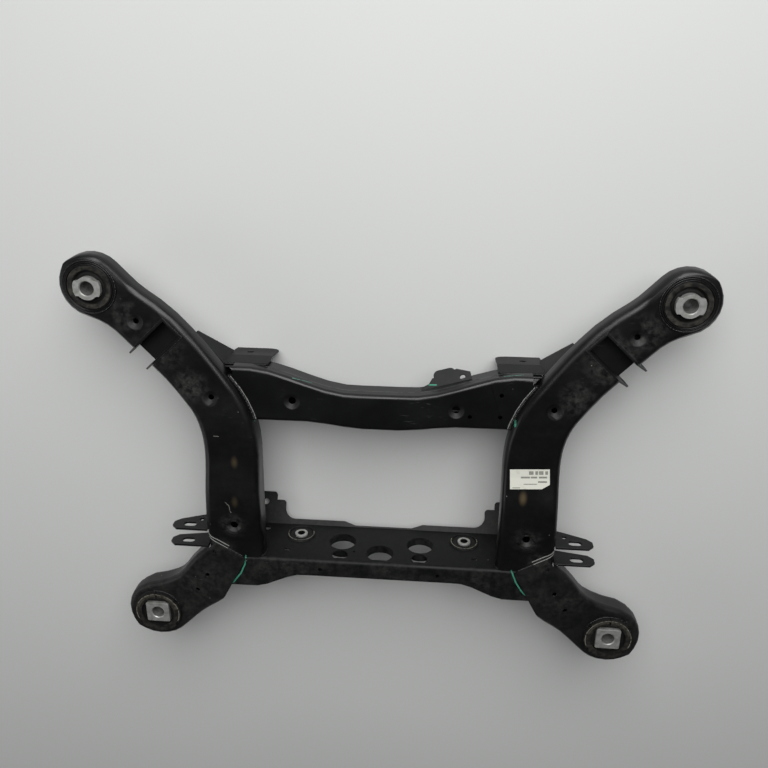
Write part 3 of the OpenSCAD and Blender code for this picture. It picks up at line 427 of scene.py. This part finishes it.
def turned_core(name, x, level, bore, upright=False):
    material, tree = blank(name)
    place = add(tree, "ShaderNodeTexCoord").outputs["Object"]
    axes = add(tree, "ShaderNodeSeparateXYZ", {0: place}).outputs
    side = add(tree, "ShaderNodeMath", {0: axes["X"]}, operation="ABSOLUTE").outputs[0]
    flat = add(tree, "ShaderNodeCombineXYZ", {"X": side, "Y": axes["Z" if upright else "Y"]}).outputs[0]
    radius = add(tree, "ShaderNodeVectorMath", {
        0: flat, 1: (x * MM, level * MM, 0)}, operation="DISTANCE").outputs["Value"]
    phase = add(tree, "ShaderNodeMath", {
        0: radius, 1: 2 * math.pi * per_metre(RING)}, operation="MULTIPLY").outputs[0]
    ring = add(tree, "ShaderNodeMath", {0: phase}, operation="SINE").outputs[0]
    stain = add(tree, "ShaderNodeTexNoise", {
        "Vector": place, "Scale": per_metre(CORE_STAIN), "Detail": 5.0}).outputs["Fac"]
    stain = add(tree, "ShaderNodeMapRange", {0: stain, 1: 0.35, 2: 0.7}).outputs[0]
    # Painted shade: the walls of the bolt hole, within its radius, are painted near black
    inside = add(tree, "ShaderNodeMapRange", {
        0: radius, 1: (bore + 0.7) * MM, 2: (bore + 0.2) * MM}).outputs[0]
    tone = add(tree, "ShaderNodeMix", {
        0: stain, 6: linear("#b9bab7"), 7: linear("#8d8d88")}, data_type="RGBA").outputs[2]
    tone = add(tree, "ShaderNodeMix", {
        0: inside, 6: tone, 7: linear("#121312")}, data_type="RGBA").outputs[2]
    rough = add(tree, "ShaderNodeMapRange", {0: stain, 3: 0.42, 4: 0.6}).outputs[0]
    bump = add(tree, "ShaderNodeBump", {"Height": ring, "Strength": 0.2, "Distance": 0.15 * MM}).outputs[0]
    shader = add(tree, "ShaderNodeBsdfPrincipled", {
        "Base Color": tone, "Roughness": rough, "Normal": bump, "Metallic": 0.55})
    add(tree, "ShaderNodeOutputMaterial", {"Surface": shader.outputs[0]})
    print("core:", name, "about x", round(x, 1))
    return material


front_middle = middle_of("right_front_bush_sleeve")
rear_middle = middle_of("right_rear_bush_sleeve")
diff_middle = middle_of("right_diff_bush_core")
front_core = turned_core("turned_steel_front_core", front_middle.x, front_middle.y, BODY_BORE)
rear_core = turned_core("turned_steel_rear_core", rear_middle.x, rear_middle.y, BODY_BORE)
diff_core = turned_core("turned_steel_diff_core", diff_middle.x, diff_middle.z, DIFF_BORE, upright=True)

# %% [markdown]
# ## Rolled edges
# Pressed steel has no razor edges: each cut edge is a little round and catches a line of light. The CAD
# solids are exact but sharp, and their lofted shells are made of flat facets. Each is copied, its loose
# triangles merged, its coplanar faces joined, its sharp edges bevelled, and its facets shaded as one smooth
# skin with weighted normals.

# %% A copy with rolled edges
SHEET_FACETS, RAIL_FACETS = 36, 52  # degrees up to which two facets are shaded as one skin
BEVEL_FROM = 4  # an edge is rolled where it is this many degrees sharper than that
SAME_CORNER = 0.004  # corners closer than this are one
SAME_PLANE = 0.6  # degrees within which two faces are joined as coplanar


def skin(node, material, edge, facets=SHEET_FACETS):
    bm = bmesh.new()
    bm.from_mesh(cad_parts[node].data)
    bmesh.ops.remove_doubles(bm, verts=bm.verts, dist=SAME_CORNER * MM)
    bmesh.ops.dissolve_limit(bm, angle_limit=math.radians(SAME_PLANE), verts=bm.verts, edges=bm.edges)
    mesh = bpy.data.meshes.new(node + "_skin")
    bm.to_mesh(mesh)
    bm.free()
    draft = bpy.data.objects.new(node + "_skin", mesh)
    scene.collection.objects.link(draft)
    mesh.shade_smooth()
    mesh.set_sharp_from_angle(angle=math.radians(facets))
    bevel = draft.modifiers.new("rolled_edge", "BEVEL")
    bevel.width, bevel.segments, bevel.limit_method = edge * MM, 2, "ANGLE"
    bevel.angle_limit = math.radians(facets + BEVEL_FROM)
    weigh = draft.modifiers.new("weighted_normals", "WEIGHTED_NORMAL")
    weigh.keep_sharp = True
    done = bpy.data.meshes.new_from_object(draft.evaluated_get(bpy.context.evaluated_depsgraph_get()))
    draft.modifiers.clear()
    draft.data = done
    done.materials.clear()
    done.materials.append(material)
    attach(draft, "root")
    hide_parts(node)
    return draft


print("skins: facets up to", SHEET_FACETS, "degrees, or", RAIL_FACETS, "on the rails, shade as one")

# %% Copies of the painted sheets and of the bushes
SHEETS = {  # ending of a node's name: its paint and the radius of its edges
    "rail_upper_shell": ("rails", 0.7), "rail_lower_shell": ("rails", 0.7),
    "front_crossmember_upper_shell": ("crossmember", 0.7),
    "front_crossmember_lower_shell": ("crossmember", 0.7),
    "rear_crossmember_panel": ("rear_panel", 0.6), "rear_crossmember_back_panel": ("rear_panel", 0.6),
    "rear_arm_upper_shell": ("rear_arms", 0.7), "rear_arm_lower_shell": ("rear_arms", 0.7),
    "bush_housing": ("rails", 0.6), "upper_link_pocket": ("pockets", 0.6),
    "ear": ("brackets", 0.8), "front_tab": ("tabs", 0.6), "lobed_bracket": ("brackets", 0.6),
}
BUSHES = {  # ending of a node's name: its finish, the radius of its edges and its slot
    "front_bush_sleeve": (paint["rails"], 0.5, "sleeve_steel"),
    "rear_bush_sleeve": (paint["rails"], 0.5, "sleeve_steel"),
    "diff_bush_sleeve": (paint["rear_panel"], 0.5, "sleeve_steel"),
    "diff_bush_rubber": (front_rubber, 1.2, "bush_rubber"),
    "rear_bush_rubber": (rear_rubber, 1.2, "bush_rubber"),
    "front_bush_core": (front_core, 0.7, "core_steel"),
    "rear_bush_core": (rear_core, 0.7, "core_steel"),
    "diff_bush_core": (diff_core, 0.5, "core_steel"),
}
skins = {}
for node in sorted(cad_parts):
    for ending, (group, edge) in SHEETS.items():
        if node.endswith(ending):
            facets = RAIL_FACETS if "rail" in ending else SHEET_FACETS
            skins[node] = skin(node, paint[group], edge, facets)
    for ending, (finish, edge, slot) in BUSHES.items():
        if node.endswith(ending):
            skins[node] = skin(node, finish, edge)
print("skins:", len(skins), "pieces,", sum(len(s.data.polygons) for s in skins.values()), "faces")

# %% [markdown]
# ## Front bush rubber
# Around each front core the rubber rises to a rounded lip at the sleeve and falls to a deep groove. It is a
# body of revolution, so its closed profile is turned about the bolt, as a mould maker would turn it.

# %% Turning a profile
TURNED_FACETS = 50  # degrees up to which two facets of a turned piece are shaded as one


def lathe(name, profile, middle, steps=96):
    ring = len(profile)
    corners, faces = [], []
    for i in range(steps):
        t = 2 * math.pi * i / steps
        corners += [(middle.x + r * math.cos(t), middle.y + r * math.sin(t), z) for r, z in profile]
        for j in range(ring):
            a, b = i * ring + j, i * ring + (j + 1) % ring
            c, d = (a + ring) % (steps * ring), (b + ring) % (steps * ring)
            faces.append((a, c, d, b))
    mesh = bpy.data.meshes.new(name)
    mesh.from_pydata([Vector(c) * MM for c in corners], [], faces)
    bm = bmesh.new()
    bm.from_mesh(mesh)
    bmesh.ops.recalc_face_normals(bm, faces=bm.faces)
    bm.to_mesh(mesh)
    bm.free()
    mesh.shade_smooth()
    mesh.set_sharp_from_angle(angle=math.radians(TURNED_FACETS))
    piece = bpy.data.objects.new(name, mesh)
    scene.collection.objects.link(piece)
    return piece


def eased(k):
    return (1 - math.cos(math.pi * k)) / 2  # from 0 to 1 with level ends


print("lathe: halfway, a slope has risen", round(eased(0.5), 2), "of its height")

# %% Front bush rubbers
LIP_EDGE = 1.2  # radius of the lip's outer edge
LIP, FALL = 7.0, 4.5  # width of the lip, and of the slope inside it
GROOVE_END, RISE = 14.0, 3.6  # where the groove ends, from the sleeve, and the width of the slope to the core
GROOVE, CORE_STEP, CORE_LEVEL = 6.5, 4.5, 1.8  # depth of the groove, height of that slope, depth at the core
CORE_SEAT, THINNEST = 18.3, 10  # radius at which the rubber meets the core, and the least width of rubber
for side, _ in SIDES:
    node = side + "_front_bush_rubber"
    low, high = (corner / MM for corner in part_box(node))
    outer = (high.x - low.x) / 2
    top = high.z
    bore = min(CORE_SEAT, outer - THINNEST)
    edge = [(outer - LIP_EDGE * (1 - math.cos(t)), top - LIP_EDGE * (1 - math.sin(t)))
            for t in np.radians([0, 30, 60, 90])]
    fall = [(outer - LIP - FALL * k, top - GROOVE * eased(k)) for k in np.linspace(0, 1, 7)]
    rise = [(outer - GROOVE_END - RISE * k, top - GROOVE + CORE_STEP * eased(k))
            for k in np.linspace(0, 1, 6)]
    profile = [(bore, low.z), (outer, low.z)] + edge + fall + rise + [(bore, top - CORE_LEVEL)]
    rubber = lathe(node + "_moulding", profile, (low + high) / 2)
    rubber.data.materials.append(front_rubber)
    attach(rubber, "root")
    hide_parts(node)
    print("rubber:", rubber.name, "radius", round(outer, 1), "mm")

# %% [markdown]
# ## Films on the paint
# Pen, paper, scratches and the painted highlights on seams all break up the same way. One small material
# serves
# them: a colour that turns into a second one where the film has skipped or worn.

# %% Films
def film(name, full, worn, size, share, rough):
    material, tree = blank(name)
    place = add(tree, "ShaderNodeTexCoord").outputs["Object"]
    cloud = add(tree, "ShaderNodeTexNoise", {
        "Vector": place, "Scale": per_metre(size), "Detail": 4.0}).outputs["Fac"]
    skip = add(tree, "ShaderNodeMapRange", {0: cloud, 1: share, 2: share + 0.12}).outputs[0]
    tone = add(tree, "ShaderNodeMix", {
        0: skip, 6: linear(full), 7: linear(worn)}, data_type="RGBA").outputs[2]
    shader = add(tree, "ShaderNodeBsdfPrincipled", {
        "Base Color": tone, "Roughness": rough, "Specular IOR Level": 0.3})
    add(tree, "ShaderNodeOutputMaterial", {"Surface": shader.outputs[0]})
    return material


# Painted highlight: pale grey for the bright lines along seams and lap edges
seam_highlight_film = film("painted_highlight_on_seams", "#7f817d", "#4a4b49", size=9.0, share=0.6, rough=0.5)
print("film:", seam_highlight_film.name)

# %% [markdown]
# ## Finding a place on the metal
# Welds, pen marks and the label have to lie on the surface. A BVH tree answers where a ray meets it:
# straight down or across for the welds, and from the camera through a pixel of the picture for what is only
# known from there.

# %% Rays on the metal
ABOVE, BEFORE = 300, 400  # a height, and a y beyond the front end, that are clear of the frame
DOWN, BACK = (0, 0, -1), (0, -1, 0)
CROSS_PIXEL = (384, 400)  # a pixel of the picture that shows the front crossmember


def tree_of(names):
    corners, faces = [], []
    for name in names:
        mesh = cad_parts[name].data
        base = len(corners)
        corners += [v.co.copy() for v in mesh.vertices]
        faces += [[base + i for i in p.vertices] for p in mesh.polygons]
    return BVHTree.FromPolygons(corners, faces)


whole = tree_of(sorted(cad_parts))
focal = LENS / SENSOR * PICTURE  # in pixels


def seen_at(u, v):
    away = look @ Vector(((u - PICTURE / 2) / focal, (PICTURE / 2 - v) / focal, -1)).normalized()
    return whole.ray_cast(eye, away)[:2]


def met(tree, start, away):
    point = tree.ray_cast(Vector(start) * MM, Vector(away))[0]
    return point / MM if point else None


print("rays: the crossmember is met at", seen_at(*CROSS_PIXEL)[0])

# %% [markdown]
# ## Weld beads
# A robot laid each seam as a row of small frozen pools, one over the next. A bevelled curve would be too
# smooth, so a Geometry Nodes tree walks along each path and sets one flattened ball per pool, a little
# uneven. The paths are short chains of points on the metal; the tree's inputs are the pitch of the pools
# and the bead's radius.

# %% The weld bead tree
def bead_tree():
    tree = bpy.data.node_groups.new("weld_bead", "GeometryNodeTree")
    tree.interface.new_socket("Seam", in_out="INPUT", socket_type="NodeSocketGeometry")
    for name in ("Pool pitch", "Bead radius"):
        tree.interface.new_socket(name, in_out="INPUT", socket_type="NodeSocketFloat")
    tree.interface.new_socket("Finish", in_out="INPUT", socket_type="NodeSocketMaterial")
    tree.interface.new_socket("Bead", in_out="OUTPUT", socket_type="NodeSocketGeometry")
    given = add(tree, "NodeGroupInput").outputs
    path = add(tree, "GeometryNodeMeshToCurve", {"Mesh": given["Seam"]}).outputs[0]
    pools = add(tree, "GeometryNodeCurveToPoints", {
        "Curve": path, "Length": given["Pool pitch"]}, mode="LENGTH").outputs
    ball = add(tree, "GeometryNodeMeshUVSphere", {"Segments": 8, "Rings": 6, "Radius": 1.0}).outputs["Mesh"]
    uneven = add(tree, "FunctionNodeRandomValue", {2: 0.82, 3: 1.12, "Seed": 7}, data_type="FLOAT").outputs[1]
    across = add(tree, "ShaderNodeMath", {
        0: given["Bead radius"], 1: uneven}, operation="MULTIPLY").outputs[0]
    along = add(tree, "ShaderNodeMath", {0: given["Pool pitch"], 1: 1.05}, operation="MULTIPLY").outputs[0]
    shape = add(tree, "ShaderNodeCombineXYZ", {"X": across, "Y": across, "Z": along}).outputs[0]
    row = add(tree, "GeometryNodeInstanceOnPoints", {
        "Points": pools["Points"], "Instance": ball, "Rotation": pools["Rotation"], "Scale": shape})
    real = add(tree, "GeometryNodeRealizeInstances", {0: row.outputs[0]}).outputs[0]
    smooth = add(tree, "GeometryNodeSetShadeSmooth", {"Geometry": real}).outputs[0]
    done = add(tree, "GeometryNodeSetMaterial", {"Geometry": smooth, "Material": given["Finish"]}).outputs[0]
    add(tree, "NodeGroupOutput", {"Bead": done})
    return tree


weld_bead = bead_tree()
print("weld bead: a tree of", len(weld_bead.nodes), "nodes")

# %% A weld along some paths
def weld(name, paths, pitch, radius, finish):
    corners, edges = [], []
    for path in paths:
        base = len(corners)
        corners += [Vector(p) * MM for p in path]
        edges += [(base + i, base + i + 1) for i in range(len(path) - 1)]
    mesh = bpy.data.meshes.new(name)
    mesh.from_pydata(corners, edges, [])
    piece = bpy.data.objects.new(name, mesh)
    scene.collection.objects.link(piece)
    walk = piece.modifiers.new("weld_bead", "NODES")
    walk.node_group = weld_bead
    values = {"Pool pitch": pitch * MM, "Bead radius": radius * MM, "Finish": finish}
    for socket in weld_bead.interface.items_tree:
        if socket.in_out == "INPUT" and socket.name in values:
            walk[socket.identifier] = values[socket.name]
    done = bpy.data.meshes.new_from_object(piece.evaluated_get(bpy.context.evaluated_depsgraph_get()))
    piece.modifiers.clear()
    piece.data = done
    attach(piece, "root")
    print("weld:", name, len(paths), "seams,", len(done.polygons), "faces")
    return piece


# %% [markdown]
# ## Where the seams run
# The crossmember is welded to the rails, the pockets and rear arms to the rails, the tubes of the bushes to
# their bosses, the rear panel to the rails and the tabs to the crossmember. Most paths are found by rays on
# one of the solids that meet there; the seams round the tubes and the differential bushes are circles.

# %% Seams of the crossmember and the bush tubes
cross_top = top_of("front_crossmember_upper_shell")
CROSS_ENDS = (92, 164)  # back and front edge of the crossmember where it meets a rail
CROSS_START, CROSS_OVER = 120, 3  # where rays to the rails start: x, and height above the crossmember
HOUSING_RIM = 2  # how far a bush housing stands above the sheet around it
TUBE_SEAM, TUBE_LIFT = 41.6, 0.3  # radius of the seam round a bush housing, and its height over the sheet


def circle(radius, steps):
    turns = [2 * math.pi * i / steps for i in range(steps + 1)]
    return [(radius * math.cos(t), radius * math.sin(t)) for t in turns]


def crossmember_seam(side, k, inwards, sunk):
    rail = tree_of([side + "_rail_upper_shell"])
    places = [(k * CROSS_START, y, cross_top + CROSS_OVER) for y in np.linspace(*CROSS_ENDS, 40).tolist()]
    hits = [met(rail, place, (k, 0, 0)) for place in places]
    return [h + Vector((-k * inwards, 0, -sunk)) for h in hits if h]


cross_seams = [crossmember_seam(side, k, inwards=1.4, sunk=2.4) for side, k in SIDES]
tube_seams = []
for side, _ in SIDES:
    for end in ("front", "rear"):
        middle = middle_of(f"{side}_{end}_bush_housing")
        level = top_of(f"right_{end}_bush_housing") - HOUSING_RIM + TUBE_LIFT
        tube_seams.append([(middle.x + a, middle.y + b, level) for a, b in circle(TUBE_SEAM, 72)])
print("seams:", len(cross_seams), "at the crossmember,", len(tube_seams), "round the tubes")

# %% Seams of the link pockets and of the rear arms' laps
POCKET = Vector((361.6, 211.7))  # middle of the right link pocket, seen from above
OUT, ALONG = Vector((0.733, -0.680)), Vector((0.680, 0.733))  # out of the arm, and along it to the bush
POCKET_BACK, POCKET_FLANK = -49.5, 20.6  # the pocket's closed end and its flanks, from its middle
BACK_ENDS, FLANK_ENDS = (-20, 20), (-48, 16)  # where the seams at that end and along the flanks begin and end
LAP, LAP_TURN = Vector((260, -152)), math.radians(30.5)  # where a rear arm laps the rail, and how it runs
LAP_WAY = Vector((math.cos(LAP_TURN), math.sin(LAP_TURN)))
LAP_OVER = Vector((-LAP_WAY.y, LAP_WAY.x))
LAP_FOLD = 5.6  # distance between the two bright edges of a lap


def on_rail(side, k, places, lift):
    rail = tree_of([side + "_rail_upper_shell"])
    found = [met(rail, (k * q.x, q.y, ABOVE), DOWN) for q in places]
    return [spot + Vector((0, 0, lift)) for spot in found if spot]


def lap_path(first, last, count, over):
    return [LAP + t * LAP_WAY + over * LAP_OVER for t in np.linspace(first, last, count).tolist()]


pocket_paths = [[POCKET + POCKET_BACK * OUT + y * ALONG for y in np.linspace(*BACK_ENDS, 12).tolist()]]
for flank in (-POCKET_FLANK, POCKET_FLANK):
    pocket_paths.append([POCKET + x * OUT + flank * ALONG for x in np.linspace(*FLANK_ENDS, 18).tolist()])
pocket_seams = [on_rail(side, k, path, lift=-0.2) for side, k in SIDES for path in pocket_paths]
lap_seams = [on_rail(side, k, lap_path(first=-30, last=2, count=12, over=0.0), lift=0.0) for side, k in SIDES]
highlight_seams = []  # painted highlight: pale bead lines beside the crossmember's seam and on the double edge of each lap
for side, k in SIDES:
    highlight_seams.append(crossmember_seam(side, k, inwards=4.2, sunk=2.2))
    edges = [lap_path(first=4, last=58, count=28, over=over) for over in (0.0, LAP_FOLD)]
    highlight_seams += [on_rail(side, k, path, lift=0.1) for path in edges]
print("seams:", len(pocket_seams), "at the pockets,", len(lap_seams), "laps,", len(highlight_seams), "worn lines")

# %% Seams of the rear panel and of the tabs
PANEL_START, PANEL_FACE = 100, -163  # where rays to the rails start: x, and y just before the rear panel
PANEL_HEIGHTS = (100, 144)  # lowest and highest point of the seam between the rear panel and a rail
PANEL_INWARDS, PANEL_BEHIND = 0.8, 1.2  # from where a ray meets the rail to the seam's middle
DIFF_SEAM, DIFF_FACE = 25.2, -165.5  # radius and y of the seam round a differential bush
TAB_REACH, TAB_RIM = (188, 256), 104  # x of the ends of a tab's seam, and a height at which rays meet the tab
TAB_BEHIND, TAB_OVER = 1.8, 1.6  # from where a ray meets the tab to the seam's middle
panel_seams, tab_seams = [], []
for side, k in SIDES:
    both = tree_of([side + "_rail_upper_shell", side + "_rail_lower_shell"])
    places = [(k * PANEL_START, PANEL_FACE, z) for z in np.linspace(*PANEL_HEIGHTS, 16).tolist()]
    corner = [met(both, place, (k, 0, 0)) for place in places]
    panel_seams.append([h + Vector((-k * PANEL_INWARDS, -PANEL_BEHIND, 0)) for h in corner if h])
    middle = middle_of(side + "_diff_bush_sleeve")
    panel_seams.append([(middle.x + a, DIFF_FACE, middle.z + b) for a, b in circle(DIFF_SEAM, 60)])
    tab = tree_of([side + "_front_tab"])
    brow = [met(tab, (k * x, BEFORE, TAB_RIM), BACK) for x in np.linspace(*TAB_REACH, 24).tolist()]
    tab_seams.append([Vector((h.x, h.y - TAB_BEHIND, TAB_RIM + TAB_OVER)) for h in brow if h])
print("seams:", len(panel_seams), "at the rear panel,", len(tab_seams), "at the tabs")

# %% Lay the welds
WELDS = {  # seams, pitch of the pools, radius of the bead and finish
    "crossmember_welds": (cross_seams, 2.6, 3.0, paint["brackets"]),
    "bush_tube_welds": (tube_seams, 2.4, 1.7, paint["rails"]),
    "pocket_welds": (pocket_seams, 2.0, 1.3, paint["brackets"]),
    "rear_arm_lap_welds": (lap_seams, 2.2, 1.6, paint["rear_arms"]),
    "rear_panel_welds": (panel_seams, 2.0, 1.5, paint["rear_panel"]),
    "tab_welds": (tab_seams, 2.0, 1.6, paint["brackets"]),
    # Painted highlight: pale beads beside the crossmember's seam and along the laps' edges
    "painted_highlight_welds": (highlight_seams, 1.3, 1.0, seam_highlight_film),
}
for name, (seams, pitch, radius, finish) in WELDS.items():
    weld(name, seams, pitch, radius, finish)

# %% [markdown]
# ## Marks that lie on the paint
# A dealer sticks a paper label on a rail, somebody draws green checks with a paint pen, and handling
# scratches the coat. All of them are films far thinner than the sheet, so each is a narrow strip of faces
# laid a fifth of a millimetre above the metal. Their places are known from the picture, so the camera's
# rays carry them down to the surface, and short rays along the surface's own normal make every edge of a
# strip lie on it from any side.

# %% Strips on the metal
LIFT = 0.2  # between a film and the metal under it
PROBE = 4  # a short ray starts this far above the metal
STROKE_END = 0.45  # width of a stroke's ends, as a share of its width


def traced(pixels):
    spots = []
    for (u0, v0), (u1, v1) in zip(pixels, pixels[1:]):
        count = max(1, round(math.dist((u0, v0), (u1, v1))))
        spots += [seen_at(u0 + (u1 - u0) * i / count, v0 + (v1 - v0) * i / count) for i in range(count)]
    spots.append(seen_at(*pixels[-1]))
    return [(spot, normal) for spot, normal in spots if spot]


def laid(spot, normal):
    under, facing, _, _ = whole.ray_cast(spot + normal * PROBE * MM, -normal, 2 * PROBE * MM)
    return (under + facing * LIFT * MM) if under else spot + normal * LIFT * MM


def strip(name, chains, width, finish):
    corners, faces = [], []
    for spots in chains:
        base = len(corners)
        last = len(spots) - 1
        for i, (spot, normal) in enumerate(spots):
            ahead = spots[min(i + 1, last)][0] - spots[max(i - 1, 0)][0]
            taper = STROKE_END if i in (0, last) else 1.0
            across = normal.cross(ahead).normalized() * taper * width * MM / 2
            corners += [laid(spot - across, normal), laid(spot, normal), laid(spot + across, normal)]
        for i in range(last):
            a = base + 3 * i
            faces += [(a, a + 3, a + 4, a + 1), (a + 1, a + 4, a + 5, a + 2)]
    mesh = bpy.data.meshes.new(name)
    mesh.from_pydata(corners, [], faces)
    mesh.shade_smooth()
    mesh.materials.append(finish)
    piece = bpy.data.objects.new(name, mesh)
    scene.collection.objects.link(piece)
    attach(piece, "root")
    print("strip:", name, len(chains), "strokes")
    return piece


# %% Pen strokes and scratches
green_pen = film("green_paint_pen", "#3f8a72", "#1f3d34", size=4.0, share=0.56, rough=0.5)
faint_pen = film("green_paint_pen_worn", "#5c8a7a", "#2b3431", size=3.0, share=0.5, rough=0.5)
scratched = film("scratched_paint", "#6a6963", "#2a2a28", size=2.5, share=0.52, rough=0.6)
STROKES = {  # width, finish, and the points of each stroke as pixels of the picture
    "pen_rear_left": (2.6, green_pen, [[(246, 555), (245, 564), (241, 573), (235, 580), (233, 583)]]),
    "pen_rear_right": (2.6, green_pen, [[(511, 570), (516, 583), (521, 591), (526, 596)]]),
    "pen_crossmember": (2.4, green_pen, [[(426, 384.8), (437, 385)], [(253.6, 416), (255, 422)]]),
    "pen_seam_end": (4.4, green_pen, [[(513.6, 418), (515.6, 422), (514.8, 427)]]),
    "pen_crossmember_worn": (1.8, faint_pen, [
        [(292, 378), (302, 380.4), (312, 383)], [(504, 376.6), (524, 375)]]),
    "scratches_left_rail": (1.3, scratched, [
        [(225, 502), (229, 506), (230, 511), (231.4, 513)], [(213, 436), (219, 436.4)]]),
}
for name, (width, finish, strokes) in STROKES.items():
    strip(name, [traced(pixels) for pixels in strokes], width, finish)

# %% [markdown]
# ## A painted highlight along the crossmember
# The wall of the crossmember is two laps high, and a pale strip along both rims is a painted highlight where
# the lap edges catch the light. Rays from the front find the wall at two heights.

# %% Worn rims
RIM_HEIGHTS, RIM_HALF = (107.2, 76.5), 205  # of the two rims, and half their length
# Painted highlight: pale strips along both rims of the crossmember's wall
wall_highlight_film = film("painted_highlight_on_wall", "#5d605d", "#2b2c2b", size=14.0, share=0.5, rough=0.4)
wall = tree_of(["front_crossmember_upper_shell", "front_crossmember_lower_shell"])
rims = []
for level in RIM_HEIGHTS:
    starts = [Vector((x, BEFORE, level)) * MM for x in np.linspace(-RIM_HALF, RIM_HALF, 120).tolist()]
    hits = [wall.ray_cast(start, Vector(BACK))[:2] for start in starts]
    rims.append([(spot, normal) for spot, normal in hits if spot])
strip("painted_wall_highlights", rims, width=1.5, finish=wall_highlight_film)

# %% [markdown]
# ## Rims of the bushes
# The rear rubbers have a lip. A pale strip round the front of its outer rim is a painted highlight, and brown
# dust has dried on the front half inside it. A pale strip on the upper rim of each differential bush's sleeve
# is a painted highlight too. All are arcs about a bush's own axis, so rays along that axis find the rubber
# or the sleeve under each.

# %% Arcs on the bushes
def arcs_on(ending, radius, first, last, upright=False):
    arcs = []
    for side, _ in SIDES:
        middle, bush = middle_of(side + ending), tree_of([side + ending])
        hits = []
        for t in np.radians(np.linspace(first, last, 70)).tolist():
            a, b = radius * math.cos(t), radius * math.sin(t)
            start = (middle.x + a, BEFORE, middle.z + b) if upright else (middle.x + a, middle.y + b, ABOVE)
            hits.append(bush.ray_cast(Vector(start) * MM, Vector(BACK if upright else DOWN))[:2])
        arcs.append([(spot, normal) for spot, normal in hits if spot])
    return arcs


dried = film("dried_dust", "#3f3c33", "#211f1b", size=5.0, share=0.5, rough=0.8)
bush_rim_highlight_film = film("painted_highlight_on_bush_rims", "#77756b", "#33312c", size=4.0, share=0.5, rough=0.7)
REAR_LIP, DIFF_SLEEVE = "_rear_bush_rubber", "_diff_bush_sleeve"
sleeve_low, sleeve_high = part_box("right" + DIFF_SLEEVE)
DUST_RING, LIP_RIM = 36.4, 39.4  # radii of the dust and of the painted highlight on a rear lip's rim
SLEEVE_RIM = (sleeve_high.x - sleeve_low.x) / 2 / MM - 1.0  # a millimetre inside the sleeve's outer edge
dust_arcs = arcs_on(REAR_LIP, DUST_RING, first=14, last=166)
lip_arcs = arcs_on(REAR_LIP, LIP_RIM, first=-25, last=205)
sleeve_arcs = arcs_on(DIFF_SLEEVE, SLEEVE_RIM, first=-20, last=200, upright=True)
strip("dried_dust_on_lips", dust_arcs, width=4.0, finish=dried)
# Painted highlight: pale arcs on the lamp's side of the rear lips and on top of the differential sleeves
strip("painted_highlights_on_lips", lip_arcs, width=1.3, finish=bush_rim_highlight_film)
strip("painted_highlights_on_diff_bushes", sleeve_arcs, width=1.2, finish=bush_rim_highlight_film)

# %% [markdown]
# ## The paper label
# A dealer's stock label sticks on the right rail, near white, with one clipped corner and a few grey bars.
# A grid of small faces is carried down to the rail, so the paper bends with it, and each face takes the
# paper or the grey by its place on the grid.

# %% What is on the label
LABEL = (510.0, 469.4, 549.8, 489.2)  # left, top, right and bottom edge, as pixels of the picture
LABEL_LIFT = 0.25  # between the paper and the metal under it
COLUMNS, ROWS = 44, 22
CLIP_WIDTH, CLIP_HEIGHT = 0.2, 0.22  # of the clipped corner, as shares of the label
BARS = [  # left, top, right and bottom of a grey bar, as shares of the label
    (0.47, 0.10, 0.60, 0.26), (0.64, 0.10, 0.70, 0.26), (0.73, 0.10, 0.84, 0.26), (0.88, 0.10, 0.95, 0.26),
    (0.28, 0.38, 0.50, 0.47), (0.53, 0.38, 0.68, 0.47), (0.73, 0.38, 0.94, 0.47),
    (0.70, 0.60, 0.94, 0.69), (0.34, 0.72, 0.68, 0.77), (0.06, 0.90, 0.30, 0.95),
]
paper = film("dealer_label_paper", "#d8d8cd", "#c8c8bc", size=14.0, share=0.58, rough=0.6)
ink = film("grey_print", "#85857f", "#a3a39a", size=1.5, share=0.52, rough=0.6)
print("label:", len(BARS), "grey bars on a grid of", COLUMNS, "by", ROWS)

# %% Label
label_left, label_top, label_right, label_bottom = LABEL
corners, faces, barred = [], [], []
for j in range(ROWS + 1):
    down = j / ROWS
    reach = 1.0 - CLIP_WIDTH * max(0.0, down - 1 + CLIP_HEIGHT) / CLIP_HEIGHT
    for i in range(COLUMNS + 1):
        across = reach * i / COLUMNS
        spot, normal = seen_at(label_left + across * (label_right - label_left),
                               label_top + down * (label_bottom - label_top))
        corners.append(spot + normal * LABEL_LIFT * MM)
for j in range(ROWS):
    for i in range(COLUMNS):
        a = j * (COLUMNS + 1) + i
        faces.append((a, a + COLUMNS + 1, a + COLUMNS + 2, a + 1))
        u, v = (i + 0.5) / COLUMNS, (j + 0.5) / ROWS
        barred.append(any(left < u < right and top < v < low for left, top, right, low in BARS))
label_mesh = bpy.data.meshes.new("paper_label")
label_mesh.from_pydata(corners, [], faces)
label_mesh.shade_smooth()
for finish in (paper, ink):
    label_mesh.materials.append(finish)
label_mesh.polygons.foreach_set("material_index", [int(flag) for flag in barred])
label = bpy.data.objects.new("paper_label", label_mesh)
scene.collection.objects.link(label)
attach(label, "root")
print("label:", len(faces), "faces,", sum(barred), "of them grey")

# %% [markdown]
# ## Sizes
# The box round everything shown, apart from the floor, is measured. The dressed model
# may not outgrow the solids.

# %% Sizes and finish
low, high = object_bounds()
